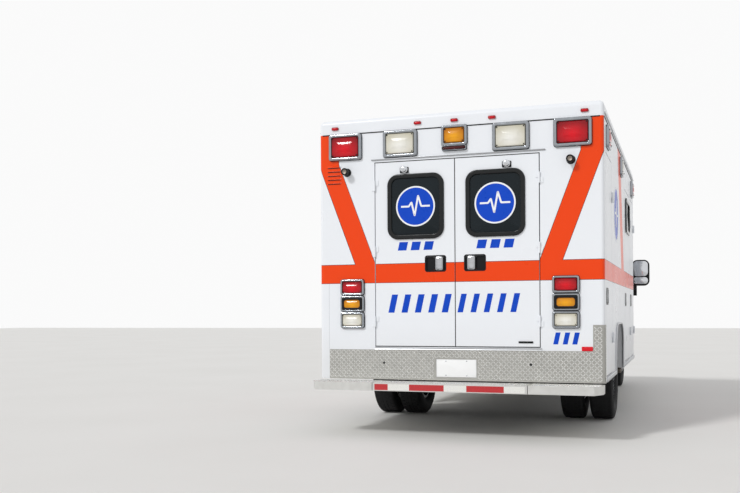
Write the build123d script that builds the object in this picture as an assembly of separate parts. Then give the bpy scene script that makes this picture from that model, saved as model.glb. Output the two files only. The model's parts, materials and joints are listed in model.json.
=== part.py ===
from build123d import *
import math
import os

# An ambulance: a box body with its lockers, doors and lamps on a cutaway van chassis with twin rear wheels.
# Millimetres. X points to the front, Y to the vehicle's left and Z up. The origin lies on the ground, under
# the middle of the whole length, from the rear step's edge to the front bumper.

# Driving sizes: lengths along the vehicle
FRONT_OVERHANG = 772
CAB_BACK_TO_AXLE = 1473
CAB_TO_MODULE = 15
AXLE_TO_MODULE_FRONT = 2525
MODULE_LENGTH = 4160
STEP_DEPTH = 280
WHEELBASE = AXLE_TO_MODULE_FRONT + CAB_TO_MODULE + CAB_BACK_TO_AXLE
REAR_OVERHANG = MODULE_LENGTH - AXLE_TO_MODULE_FRONT
X_STEP = -(FRONT_OVERHANG + WHEELBASE + REAR_OVERHANG + STEP_DEPTH) / 2
X_FACE = X_STEP + STEP_DEPTH
X_REAR_AXLE = X_FACE + REAR_OVERHANG
X_FRONT_AXLE = X_REAR_AXLE + WHEELBASE
X_NOSE = X_FRONT_AXLE + FRONT_OVERHANG
X_MODULE_FRONT = X_FACE + MODULE_LENGTH
X_CAB_BACK = X_MODULE_FRONT + CAB_TO_MODULE

# Driving sizes: box body
MODULE_WIDTH = 2438
MODULE_BOTTOM = 462
MODULE_TOP = 2725
CAP_HEIGHT = 127
ROOF_SKIN = 65
WALL = 60
MODULE_CORNER = 30
CAP_EDGE = 42
FLOOR_TOP = 750
FLOOR_THICK = 55
DOOR_GAP = 8
DOOR_THICK = 52
DOOR_SKIN = 20
PAN_INSET = 14
HALF = MODULE_WIDTH / 2
INNER = HALF - WALL
CAP_BOTTOM = MODULE_TOP - CAP_HEIGHT
FLOOR_BOTTOM = FLOOR_TOP - FLOOR_THICK
X_REAR_INSIDE = X_FACE + WALL
X_FRONT_INSIDE = X_MODULE_FRONT - WALL

# Driving sizes: hinges and seats between pieces
HINGE_OUT = 12
HINGE_RADIUS = 8
HINGE_LEAF = 30
HINGE_LEAF_THICK = 6
KNUCKLE = 45
SEAT = 0.3

# Driving sizes: wheels and frame
TYRE_RADIUS = 372
TYRE_WIDTH = 223
TYRE_SHOULDER = 22
TYRE_SIDES = 36
RIM_RADIUS = 203
RIM_WIDTH = 165
RIM_WALL = 9
RIM_LIP = 13
DISH = 135
DISC = 12
HUB_RADIUS = 100
FRONT_TRACK = 1762
KINGPIN_SPACING = 1500
RAIL_SPREAD = 864
RAIL_WIDTH = 60
RAIL_BOTTOM = 480
RAIL_TOP = 680
TWIN_CENTRE = 935
ARCH_WIDTH = 1000
ARCH_TOP = 920
ARCH_CORNER = 260
WHEEL_HOUSE_WALL = 20
TWIN_INNER = TWIN_CENTRE - DISH - TYRE_WIDTH / 2

# Driving sizes: cab
CAB_HALF = 1007
CAB_ROOF_HALF = 905
CAB_BELOW_ROOF = 630
CAB_TOP = MODULE_TOP - CAB_BELOW_ROOF
CAB_WALL = 60
ROCKER = 500
BELT = 1300
CAB_DOOR_GAP = 10
COWL_SETBACK = 950
ROOF_SETBACK = 1520
HOOD_SETBACK = 180
HOOD_FRONT_HEIGHT = 1110
GRILLE_SETBACK = 70
CAB_ARCH = 430
GLASS = 8
GLASS_RECESS = 10
CAB_FLOOR_BOTTOM = 700
CAB_FLOOR_THICK = 40
NOSE_BOTTOM = 590
X_COWL = X_NOSE - COWL_SETBACK
X_ROOF = X_NOSE - ROOF_SETBACK
X_HOOD = X_NOSE - HOOD_SETBACK
X_GRILLE = X_NOSE - GRILLE_SETBACK
CAB_FLOOR_TOP = CAB_FLOOR_BOTTOM + CAB_FLOOR_THICK

# Door heads hang from the cap, and the side doors lie before the arch, behind it or back from the front wall
SIDE_DOOR_TOP = CAP_BOTTOM - 268
SIDE_DOOR_BOTTOM = MODULE_BOTTOM + 43
ARCH_START = REAR_OVERHANG - ARCH_WIDTH / 2
ARCH_END = REAR_OVERHANG + ARCH_WIDTH / 2
REAR_LOCKER_START = 120
RIGHT_LOCKER_TO_ARCH = 395
LEFT_LOCKER_TO_ARCH = 285
MIDDLE_LOCKER_AFTER_ARCH = 295
MIDDLE_LOCKER_TOP = 1350
REAR_LOCKER_TOP = 1600
LOCKER_SPACING = 120
RIGHT_LOCKER_WIDTH = 580
LEFT_LOCKER_WIDTH = 800
FRONT_LOCKER_TO_FRONT = 110
SIDE_DOOR_WIDTH = 860
SIDE_DOOR_TO_LOCKER = 110
right_front = MODULE_LENGTH - FRONT_LOCKER_TO_FRONT - RIGHT_LOCKER_WIDTH
left_front = MODULE_LENGTH - FRONT_LOCKER_TO_FRONT - LEFT_LOCKER_WIDTH
side_start = right_front - SIDE_DOOR_TO_LOCKER - SIDE_DOOR_WIDTH
middle_start = ARCH_END + MIDDLE_LOCKER_AFTER_ARCH

# Side doors of the box: name, side (+1 left, -1 right), start and end ahead of the rear face, bottom, top
SIDE_DOORS = (
    ("side_door", -1, side_start, side_start + SIDE_DOOR_WIDTH, SIDE_DOOR_BOTTOM, SIDE_DOOR_TOP),
    (
        "locker_door_right_rear", -1, REAR_LOCKER_START, ARCH_START - RIGHT_LOCKER_TO_ARCH,
        SIDE_DOOR_BOTTOM, SIDE_DOOR_TOP,
    ),
    (
        "locker_door_right_front", -1, right_front, right_front + RIGHT_LOCKER_WIDTH,
        SIDE_DOOR_BOTTOM, SIDE_DOOR_TOP,
    ),
    ("locker_door_left_front", 1, left_front, left_front + LEFT_LOCKER_WIDTH, SIDE_DOOR_BOTTOM, SIDE_DOOR_TOP),
    (
        "locker_door_left_middle", 1, middle_start, left_front - LOCKER_SPACING,
        SIDE_DOOR_BOTTOM, MIDDLE_LOCKER_TOP,
    ),
    (
        "locker_door_left_rear", 1, REAR_LOCKER_START, ARCH_START - LEFT_LOCKER_TO_ARCH,
        SIDE_DOOR_BOTTOM, REAR_LOCKER_TOP,
    ),
)
UNDER_HALF = 719
LOCKER_DEPTH = INNER - UNDER_HALF
LOCKER_WALL = 20
LOCKER_LIP = 15

# Rear doors
REAR_DOOR_HALF = 702
REAR_DOOR_BOTTOM = FLOOR_TOP + 1
REAR_DOOR_TOP = CAP_BOTTOM - 273
REAR_SPLIT = 8

parts = {}


def keep(name, *solids):
    """Store one named piece, fused where its solids meet."""
    whole = solids[0]
    for extra in solids[1:]:
        whole = whole + extra
    parts[name] = whole


def block(x, y, z):
    """A box between two places along each axis."""
    centre = Pos((x[0] + x[1]) / 2, (y[0] + y[1]) / 2, (z[0] + z[1]) / 2)
    return centre * Box(abs(x[1] - x[0]), abs(y[1] - y[0]), abs(z[1] - z[0]))


def mirrored(solid):
    """The same form on the other side of the vehicle."""
    return mirror(solid, about=Plane.XZ)


def outline(points, radius=0):
    """A closed flat outline with all its corners rounded alike, or each by its own radius."""
    if radius == 0:
        return make_face(Polyline(*points, close=True))
    return make_face(FilletPolyline(*points, radius=radius, close=True))


def side_prism(face, y):
    """An outline in X and Z, drawn from one width to another."""
    low, high = sorted(y)
    plane = Plane((0, high, 0), x_dir=(1, 0, 0), z_dir=(0, -1, 0))
    return extrude(plane * face, amount=high - low, dir=(0, -1, 0))


def front_prism(face, x):
    """An outline in Y and Z, drawn from one length to another."""
    low, high = sorted(x)
    plane = Plane((low, 0, 0), x_dir=(0, 1, 0), z_dir=(1, 0, 0))
    return extrude(plane * face, amount=high - low, dir=(1, 0, 0))


def raised(face, z):
    """A plan drawn from one height to another."""
    low, high = sorted(z)
    return extrude(Pos(0, 0, low) * face, amount=high - low, dir=(0, 0, 1))


def rounded(low, high, radius):
    """A rounded rectangle between two corners."""
    centre = Pos((low[0] + high[0]) / 2, (low[1] + high[1]) / 2)
    return centre * RectangleRounded(high[0] - low[0], high[1] - low[1], radius)


def rod(start, end, radius):
    """A round bar between two points."""
    way = Vector(*end) - Vector(*start)
    plane = Plane(origin=start, z_dir=way)
    return extrude(plane * Circle(radius), amount=way.length)


def upright_hinge(x, y, along, out, levels):
    """Knuckles on one upright line over a gap: those of the door, and those of the frame below them.

    The gap's centre on the skin is (x, y); along points over the door, and out points off the skin.
    """
    pin_x = x + out[0] * HINGE_OUT
    pin_y = y + out[1] * HINGE_OUT
    sides = []
    for way, lift in ((1, 0), (-1, -KNUCKLE - SEAT)):
        pieces = []
        for level in levels:
            low = level + lift
            barrel = Pos(pin_x, pin_y, low + KNUCKLE / 2) * Cylinder(HINGE_RADIUS, KNUCKLE)
            leaf = block(
                (x, x + along[0] * way * HINGE_LEAF + out[0] * HINGE_LEAF_THICK),
                (y, y + along[1] * way * HINGE_LEAF + out[1] * HINGE_LEAF_THICK),
                (low, low + KNUCKLE),
            )
            pieces.append(barrel + leaf)
        sides.append(pieces)
    return sides


# Paddle handles: the size of the pocket in a door's skin, and of the plate that the hand pulls
HANDLE_WIDTH = 172
HANDLE_HEIGHT = 126
HANDLE_CORNER = 16
POCKET_DEPTH = 14
PADDLE_WIDTH = 84
PADDLE_EDGE = 12
PADDLE_THICK = 6
PADDLE_PROUD = 2
PADDLE_ROOT = 16


def paddle_handle(place, away, out):
    """The pocket to cut from a skin, and the paddle in it; away points to the door's free edge, out off the skin."""
    plane = Plane(origin=place, x_dir=away, z_dir=out)
    face = RectangleRounded(HANDLE_WIDTH, HANDLE_HEIGHT, HANDLE_CORNER)
    pocket = extrude(Pos(0, 0, -POCKET_DEPTH) * face, amount=POCKET_DEPTH + 1, dir=(0, 0, 1))
    free_end = HANDLE_WIDTH / 2 - PADDLE_EDGE
    height = HANDLE_HEIGHT - 2 * PADDLE_EDGE
    plate = Pos(free_end - PADDLE_WIDTH / 2, 0, PADDLE_PROUD - PADDLE_THICK / 2) * Box(PADDLE_WIDTH, height, PADDLE_THICK)
    root = Pos(free_end - PADDLE_ROOT / 2, 0, (PADDLE_PROUD - POCKET_DEPTH) / 2) * Box(
        PADDLE_ROOT, height, PADDLE_PROUD + POCKET_DEPTH
    )
    return plane * pocket, plane * (plate + root)


# Box body: walls, roof and floor
module_plan = Pos(X_FACE + MODULE_LENGTH / 2, 0) * RectangleRounded(MODULE_LENGTH, MODULE_WIDTH, MODULE_CORNER)
module_box = raised(module_plan, (MODULE_BOTTOM, CAP_BOTTOM))
wide = (-HALF, HALF)
tall = (MODULE_BOTTOM, CAP_BOTTOM)

rear_wall = module_box & block((X_FACE, X_REAR_INSIDE), wide, tall)
front_wall = module_box & block((X_FRONT_INSIDE, X_MODULE_FRONT), wide, tall)
side_walls = {
    1: block((X_REAR_INSIDE, X_FRONT_INSIDE), (INNER, HALF), tall),
    -1: block((X_REAR_INSIDE, X_FRONT_INSIDE), (-HALF, -INNER), tall),
}

# Rear doors and their opening: the wall keeps a gap to the doors, and each door is a skin on a smaller pan
rear_opening = block(
    (X_FACE - 1, X_REAR_INSIDE + 1),
    (-REAR_DOOR_HALF - DOOR_GAP, REAR_DOOR_HALF + DOOR_GAP),
    (REAR_DOOR_BOTTOM - DOOR_GAP, REAR_DOOR_TOP + DOOR_GAP),
)
rear_wall = rear_wall - rear_opening
REAR_HINGE_LEVELS = (REAR_DOOR_BOTTOM + 209, (REAR_DOOR_BOTTOM + REAR_DOOR_TOP) / 2 + 22, REAR_DOOR_TOP - 195)
HOOK_Y = 440
HOOK_Z = REAR_DOOR_TOP - 67
HOOK_LENGTH = 42
HOOK_RADIUS = 22
CATCH_Y = 960
CATCH_LENGTH = 70
CATCH_RADIUS = 24
REAR_HANDLE_Y = 169.5
REAR_HANDLE_Z = REAR_DOOR_BOTTOM + 697
WINDOW_LOW = (93, REAR_DOOR_TOP - 665)
WINDOW_HIGH = (591, REAR_DOOR_TOP - 107)
WINDOW_CORNER = 95
WINDOW_FRAME = 38
WINDOW_PROUD = 16
LOUVRES = 5
LOUVRE_Y = (HALF - 200, HALF - 73)
LOUVRE_LOW = CAP_BOTTOM - 430
LOUVRE_PITCH = 35
LOUVRE_PROUD = 8
LOUVRE_LIP = 5
LOUVRE_HOOD = 19
hinge_frames = []


def window(low, high, corner):
    """A window seen from outside: the hole in the door, and a frame proud of it round a pane."""
    inner_low = (low[0] + WINDOW_FRAME, low[1] + WINDOW_FRAME)
    inner_high = (high[0] - WINDOW_FRAME, high[1] - WINDOW_FRAME)
    hole = rounded(inner_low, inner_high, corner - WINDOW_FRAME)
    ring = rounded(low, high, corner) - hole
    return hole, ring


for name, side in (("left", 1), ("right", -1)):
    skin = block(
        (X_FACE, X_FACE + DOOR_SKIN),
        (side * REAR_SPLIT / 2, side * REAR_DOOR_HALF),
        (REAR_DOOR_BOTTOM, REAR_DOOR_TOP),
    )
    pan = block(
        (X_FACE + DOOR_SKIN, X_FACE + DOOR_THICK),
        (side * (REAR_SPLIT / 2 + PAN_INSET), side * (REAR_DOOR_HALF - PAN_INSET)),
        (REAR_DOOR_BOTTOM + PAN_INSET, REAR_DOOR_TOP - PAN_INSET),
    )
    hole, ring = window(WINDOW_LOW, WINDOW_HIGH, WINDOW_CORNER)
    if side < 0:
        hole = mirror(hole, about=Plane.YZ)
        ring = mirror(ring, about=Plane.YZ)
    hinge_y = side * (REAR_DOOR_HALF + DOOR_GAP / 2)
    knuckles, frames = upright_hinge(X_FACE, hinge_y, (0, -side), (-1, 0), REAR_HINGE_LEVELS)
    hinge_frames.extend(frames)
    hook = rod((X_FACE, side * HOOK_Y, HOOK_Z), (X_FACE - HOOK_LENGTH, side * HOOK_Y, HOOK_Z), HOOK_RADIUS)
    pocket, paddle = paddle_handle((X_FACE, side * REAR_HANDLE_Y, REAR_HANDLE_Z), (0, -side, 0), (-1, 0, 0))
    door = (skin + pan) - front_prism(hole, (X_FACE - 1, X_FACE + DOOR_THICK + 1)) - pocket
    keep("rear_door_" + name, door, paddle, hook, *knuckles)
    frame = front_prism(ring, (X_FACE - WINDOW_PROUD, X_FACE))
    pane = front_prism(hole, (X_FACE + GLASS_RECESS - GLASS, X_FACE + GLASS_RECESS))
    lip = front_prism(hole - offset(hole, amount=-GLASS), (X_FACE - WINDOW_PROUD, X_FACE + GLASS_RECESS - GLASS))
    keep("rear_window_" + name, frame, lip, pane)

# Side doors and lockers, each hinged at its front edge, with its handle at the other
SIDE_WINDOW_CORNER = 70
SIDE_HANDLE_IN = 115
SIDE_HANDLE_HIGHEST = 1160
lockers = {1: [], -1: []}
for name, side, start, end, bottom, top in SIDE_DOORS:
    x0 = X_FACE + start
    x1 = X_FACE + end
    side_walls[side] = side_walls[side] - block((x0, x1), (side * (INNER - 1), side * (HALF + 1)), (bottom, top))
    skin = block(
        (x0 + DOOR_GAP, x1 - DOOR_GAP),
        (side * (HALF - DOOR_SKIN), side * HALF),
        (bottom + DOOR_GAP, top - DOOR_GAP),
    )
    inset = DOOR_GAP + PAN_INSET
    pan = block(
        (x0 + inset, x1 - inset),
        (side * (HALF - DOOR_THICK), side * (HALF - DOOR_SKIN)),
        (bottom + inset, top - inset),
    )
    third = (top - bottom) / 3
    knuckles, frames = upright_hinge(
        x1 - DOOR_GAP / 2, side * HALF, (-1, 0), (0, side), (bottom + third / 2, top - third / 2)
    )
    side_walls[side] = side_walls[side] + frames
    handle_z = min((bottom + top) / 2, SIDE_HANDLE_HIGHEST)
    pocket, paddle = paddle_handle((x0 + SIDE_HANDLE_IN, side * HALF, handle_z), (-1, 0, 0), (0, side, 0))
    door = (skin + pan) - pocket + paddle
    if name == "side_door":
        hole, ring = window((x0 + 120, top - 450), (x1 - 110, top - 80), SIDE_WINDOW_CORNER)
        door = door - side_prism(hole, (side * (HALF - DOOR_THICK - 1), side * (HALF + 1)))
        frame = side_prism(ring, (side * HALF, side * (HALF + WINDOW_PROUD)))
        pane = side_prism(hole, (side * (HALF - GLASS_RECESS), side * (HALF - GLASS_RECESS + GLASS)))
        lip = side_prism(
            hole - offset(hole, amount=-GLASS),
            (side * (HALF - GLASS_RECESS + GLASS), side * (HALF + WINDOW_PROUD)),
        )
        keep("side_window", frame, lip, pane)
        step_well = (x0, x1)
    else:
        lockers[side].append((x0, x1, bottom, top))
    keep(name, door, *knuckles)

# Wheel arches of the box
arch = outline(
    [
        (X_REAR_AXLE - ARCH_WIDTH / 2, 0),
        (X_REAR_AXLE - ARCH_WIDTH / 2, ARCH_TOP),
        (X_REAR_AXLE + ARCH_WIDTH / 2, ARCH_TOP),
        (X_REAR_AXLE + ARCH_WIDTH / 2, 0),
    ],
    [0, ARCH_CORNER, ARCH_CORNER, 0],
)
for side in (1, -1):
    side_walls[side] = side_walls[side] - side_prism(arch, (side * (INNER - 1), side * (HALF + 1)))
keep("module_left_wall", side_walls[1])
keep("module_right_wall", side_walls[-1])

# Front wall of the box, over the frame, with the way through to the cab
WALK_HALF = 300
WALK_TOP = CAB_TOP - 195
walk_way = block((X_FRONT_INSIDE - 1, X_MODULE_FRONT + 1), (-WALK_HALF, WALK_HALF), (FLOOR_TOP, WALK_TOP))
under_way = block(
    (X_FRONT_INSIDE - 1, X_MODULE_FRONT + 1),
    (-UNDER_HALF, UNDER_HALF),
    (MODULE_BOTTOM - 1, FLOOR_BOTTOM),
)
keep("module_front_wall", front_wall - walk_way - under_way)

# Roof: a pan with a deep rounded edge
cap = raised(module_plan, (CAP_BOTTOM, MODULE_TOP))
cap = fillet(cap.faces().sort_by(Axis.Z)[-1].edges(), CAP_EDGE)
cap_room = block(
    (X_REAR_INSIDE, X_FRONT_INSIDE), (-INNER, INNER), (CAP_BOTTOM - 1, MODULE_TOP - ROOF_SKIN)
)
keep("module_roof", cap - cap_room)

# Floor with its wheel houses and the step well behind the side door
HOUSE_TOP = ARCH_TOP + WHEEL_HOUSE_WALL
HOUSE_INNER = TWIN_INNER - 50
WELL_DEPTH = 300
floor = block((X_REAR_INSIDE, X_FRONT_INSIDE), (-INNER, INNER), (FLOOR_BOTTOM, FLOOR_TOP))
house_x = (X_REAR_AXLE - ARCH_WIDTH / 2, X_REAR_AXLE + ARCH_WIDTH / 2)
wheel_houses = []
for side in (1, -1):
    shell = block(
        (house_x[0] - WHEEL_HOUSE_WALL, house_x[1] + WHEEL_HOUSE_WALL),
        (side * HOUSE_INNER, side * INNER),
        (FLOOR_BOTTOM, HOUSE_TOP),
    )
    room = block(
        house_x,
        (side * (HOUSE_INNER + WHEEL_HOUSE_WALL), side * INNER),
        (FLOOR_BOTTOM, ARCH_TOP),
    )
    wheel_houses.append(shell - room)
    floor = floor - block(
        (house_x[0] - WHEEL_HOUSE_WALL - SEAT, house_x[1] + WHEEL_HOUSE_WALL + SEAT),
        (side * (HOUSE_INNER - SEAT), side * INNER),
        (FLOOR_BOTTOM, FLOOR_TOP),
    )
    for x0, x1, bottom, top in lockers[side]:
        floor = floor - block(
            (x0 - LOCKER_WALL, x1 + LOCKER_WALL),
            (side * (UNDER_HALF - LOCKER_WALL), side * INNER),
            (FLOOR_BOTTOM, FLOOR_TOP),
        )
WELL_BOTTOM = MODULE_BOTTOM + 8
WELL_PLATE = 30
well_y = (-INNER + WELL_DEPTH, -INNER)
floor = floor - block(step_well, well_y, (FLOOR_BOTTOM, FLOOR_TOP))
well_tread = block(step_well, well_y, (WELL_BOTTOM, WELL_BOTTOM + WELL_PLATE))
well_riser = block(
    step_well, (-INNER + WELL_DEPTH, -INNER + WELL_DEPTH + WELL_PLATE), (WELL_BOTTOM, FLOOR_BOTTOM - SEAT)
)

# Four threaded holes in the floor take the plate that a cot's catch is bolted to
COT_HOLE = 5
COT_HOLE_DEPTH = 30
COT_SPACING = (300, 100)
COT_AHEAD = 400
for along in (-1, 1):
    for across in (-1, 1):
        x = X_REAR_AXLE + COT_AHEAD + along * COT_SPACING[0] / 2
        y = across * COT_SPACING[1] / 2
        floor = floor - rod((x, y, FLOOR_TOP - COT_HOLE_DEPTH), (x, y, FLOOR_TOP + 1), COT_HOLE)
keep("module_floor", floor, well_tread, well_riser, *wheel_houses)

# Left cabinets: one carcass with lockers that open outwards and niches that open inwards
CABINET_TOP = CAP_BOTTOM - 8
CABINET_FACE = UNDER_HALF - LOCKER_WALL
NICHE_DEPTH = LOCKER_DEPTH - 60
NICHE_TOP = CABINET_TOP - 90
# Niches: start and end ahead of the rear face, bottom, top
NICHES = (
    (150, 850, REAR_LOCKER_TOP + 80, NICHE_TOP),
    (950, 1640, 1750, NICHE_TOP),
    (1680, 2370, 1750, NICHE_TOP),
    (2450, left_front - 110, MIDDLE_LOCKER_TOP + 80, NICHE_TOP),
    (950, 2370, 1120, 1650),
)
house_clear = block(
    (house_x[0] - WHEEL_HOUSE_WALL, house_x[1] + WHEEL_HOUSE_WALL), (HOUSE_INNER, HALF), (0, HOUSE_TOP)
)
carcass = block((X_REAR_INSIDE, X_FRONT_INSIDE), (CABINET_FACE, INNER), (FLOOR_TOP, CABINET_TOP))
for x0, x1, bottom, top in lockers[1]:
    carcass = carcass + block(
        (x0 - LOCKER_WALL, min(x1 + LOCKER_WALL, X_FRONT_INSIDE)),
        (CABINET_FACE, INNER),
        (bottom - LOCKER_WALL, FLOOR_TOP),
    )
carcass = carcass - house_clear
for x0, x1, bottom, top in lockers[1]:
    carcass = carcass - block(
        (x0 + LOCKER_LIP, x1 - LOCKER_LIP), (UNDER_HALF, INNER), (bottom + LOCKER_LIP, top - LOCKER_LIP)
    )
for start, end, bottom, top in NICHES:
    carcass = carcass - block(
        (X_FACE + start, X_FACE + end), (CABINET_FACE, CABINET_FACE + NICHE_DEPTH), (bottom, top)
    )
keep("cabinets_left", carcass)

# Right cabinets: two tall lockers, the bench base between them and a cupboard above the bench
BENCH_TOP = 1170
BENCH_DEPTH = 569
BENCH_FACE = INNER - BENCH_DEPTH
CUPBOARD_BOTTOM = CABINET_TOP - 410
CUPBOARD_DEPTH = 320
right = []
for x0, x1, bottom, top in lockers[-1]:
    case = block(
        (x0 - LOCKER_WALL, x1 + LOCKER_WALL), (-CABINET_FACE, -INNER), (bottom - LOCKER_WALL, CABINET_TOP)
    )
    room = block(
        (x0 + LOCKER_LIP, x1 - LOCKER_LIP), (-UNDER_HALF, -INNER), (bottom + LOCKER_LIP, top - LOCKER_LIP)
    )
    right.append(case - room)
bench_x = (lockers[-1][0][1] + LOCKER_WALL + SEAT, step_well[0] - LOCKER_WALL - SEAT)
bench = block(bench_x, (-BENCH_FACE, -INNER), (FLOOR_TOP, BENCH_TOP))
bench = bench - mirrored(house_clear)
cupboard = block(bench_x, (-INNER + CUPBOARD_DEPTH, -INNER), (CUPBOARD_BOTTOM, CABINET_TOP))
cupboard = cupboard - block(
    (bench_x[0] + LOCKER_WALL, bench_x[1] - LOCKER_WALL),
    (-INNER + CUPBOARD_DEPTH, -INNER + LOCKER_WALL),
    (CUPBOARD_BOTTOM + LOCKER_WALL, CABINET_TOP - LOCKER_WALL),
)
keep("cabinets_right", right[0], bench, cupboard, right[1])

# Bench cushion and the attendant's seat that faces the rear
CUSHION = 90
SEAT_X = X_MODULE_FRONT - 860
SEAT_BASE_TOP = 1130
cushion = block(
    (bench_x[0] + 20, bench_x[1] - 20), (-BENCH_FACE - 10, -INNER + 60), (BENCH_TOP + SEAT, BENCH_TOP + CUSHION)
)
pedestal = block((SEAT_X + 60, SEAT_X + 400), (-170, 170), (FLOOR_TOP, SEAT_BASE_TOP))
squab = block(
    (SEAT_X, SEAT_X + 480), (-240, 240), (SEAT_BASE_TOP + SEAT, SEAT_BASE_TOP + CUSHION + 20)
)
backrest = block(
    (SEAT_X + 380, SEAT_X + 480), (-240, 240), (SEAT_BASE_TOP + CUSHION + 20 + SEAT, SEAT_BASE_TOP + 820)
)
parts["patient_seats"] = Compound(children=[cushion.solid(), squab.solid(), backrest.solid()])
parts["cabinets_right"] = parts["cabinets_right"] + pedestal

# Chassis frame: two rails with cross-members and pads under the box floor
rail_out = RAIL_SPREAD / 2
rail_in = rail_out - RAIL_WIDTH
RAIL_END = 160
CROSS_DEPTH = 60
CROSS_WIDTH = 80
x_rail = (X_FACE + RAIL_END, X_GRILLE - CAB_WALL - 60)
frame_solids = []
for side in (1, -1):
    frame_solids.append(block(x_rail, (side * rail_in, side * rail_out), (RAIL_BOTTOM, RAIL_TOP)))
MIDDLE_CROSS_SETBACK = 925
MIDDLE_CROSS = X_MODULE_FRONT - MIDDLE_CROSS_SETBACK
TANK_BACK = x_rail[0] + 120
TANK_LENGTH = 600
cross_places = (x_rail[0] + 60, TANK_BACK + TANK_LENGTH - 120, X_REAR_AXLE + 520, MIDDLE_CROSS, X_CAB_BACK - 100)
for x in cross_places:
    frame_solids.append(
        block(
            (x - CROSS_WIDTH / 2, x + CROSS_WIDTH / 2),
            (-rail_in, rail_in),
            (RAIL_TOP - CROSS_DEPTH, RAIL_TOP),
        )
    )
frame_solids.append(block((x_rail[1] - 50, x_rail[1]), (-rail_in, rail_in), (RAIL_BOTTOM, RAIL_BOTTOM + 120)))
PAD = 70
for x in (x_rail[0] + 60, X_REAR_AXLE - 600, X_REAR_AXLE + 620, MIDDLE_CROSS, X_FRONT_INSIDE - 80):
    for side in (1, -1):
        frame_solids.append(
            block((x - PAD, x + PAD), (side * rail_in, side * rail_out), (RAIL_TOP, FLOOR_BOTTOM))
        )
# Cab mounts stand between the rails and the cab floor
for x in (X_CAB_BACK + 200, X_CAB_BACK + 900):
    for side in (1, -1):
        frame_solids.append(
            block((x - PAD, x + PAD), (side * rail_in, side * rail_out), (RAIL_TOP, CAB_FLOOR_BOTTOM))
        )
# Hangers for the leaf springs
SPRING_HALF = 640
SPRING_Y = (rail_out, rail_out + 80)
SPRING_EYE = 545
for x in (X_REAR_AXLE - SPRING_HALF, X_REAR_AXLE + SPRING_HALF):
    for side in (1, -1):
        frame_solids.append(
            block((x - 40, x + 40), (side * SPRING_Y[0], side * SPRING_Y[1]), (SPRING_EYE + 15, RAIL_TOP - 20))
        )
keep("chassis_frame", *frame_solids)

# Rear axle on its leaf springs
TUBE_RADIUS = 52
DIFFERENTIAL_RADIUS = 165
REAR_HUB_FACE = TWIN_CENTRE - DISC
HUB_FLANGE = 25
tube_end = REAR_HUB_FACE - SEAT - HUB_FLANGE
axle_solids = [
    rod((X_REAR_AXLE, -tube_end, TYRE_RADIUS), (X_REAR_AXLE, tube_end, TYRE_RADIUS), TUBE_RADIUS),
    Pos(X_REAR_AXLE, 0, TYRE_RADIUS) * Sphere(DIFFERENTIAL_RADIUS),
]
SPRING_SEAT = TYRE_RADIUS + TUBE_RADIUS - 6
LEAF_STACK = 34
spring_face = make_face(
    [
        ThreePointArc(
            (X_REAR_AXLE - SPRING_HALF - 30, SPRING_EYE + 15),
            (X_REAR_AXLE, SPRING_SEAT + LEAF_STACK),
            (X_REAR_AXLE + SPRING_HALF + 30, SPRING_EYE + 15),
        ),
        Line((X_REAR_AXLE + SPRING_HALF + 30, SPRING_EYE + 15), (X_REAR_AXLE + SPRING_HALF + 30, SPRING_EYE - 5)),
        ThreePointArc(
            (X_REAR_AXLE + SPRING_HALF + 30, SPRING_EYE - 5),
            (X_REAR_AXLE, SPRING_SEAT),
            (X_REAR_AXLE - SPRING_HALF - 30, SPRING_EYE - 5),
        ),
        Line((X_REAR_AXLE - SPRING_HALF - 30, SPRING_EYE - 5), (X_REAR_AXLE - SPRING_HALF - 30, SPRING_EYE + 15)),
    ]
)
for side in (1, -1):
    axle_solids.append(side_prism(spring_face, (side * (SPRING_Y[0] + 5), side * SPRING_Y[1])))
    axle_solids.append(
        rod(
            (X_REAR_AXLE, side * tube_end, TYRE_RADIUS),
            (X_REAR_AXLE, side * (REAR_HUB_FACE - SEAT), TYRE_RADIUS),
            HUB_RADIUS - 10,
        )
    )
keep("rear_axle", *axle_solids)

# Front axle beam with its kingpin bosses and the coil springs under the rails
KINGPIN_Y = KINGPIN_SPACING / 2
BOSS_RADIUS = 35
BOSS_HALF = 42
BEAM_HALF = 26
beam_solids = [
    block(
        (X_FRONT_AXLE - 30, X_FRONT_AXLE + 30),
        (-KINGPIN_Y, KINGPIN_Y),
        (TYRE_RADIUS - BEAM_HALF, TYRE_RADIUS + BEAM_HALF),
    )
]
for side in (1, -1):
    beam_solids.append(Pos(X_FRONT_AXLE, side * KINGPIN_Y, TYRE_RADIUS) * Cylinder(BOSS_RADIUS, 2 * BOSS_HALF))
    beam_solids.append(
        rod(
            (X_FRONT_AXLE, side * (rail_in + RAIL_WIDTH / 2), TYRE_RADIUS),
            (X_FRONT_AXLE, side * (rail_in + RAIL_WIDTH / 2), RAIL_BOTTOM),
            52,
        )
    )
keep("front_axle", *beam_solids)

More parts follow.
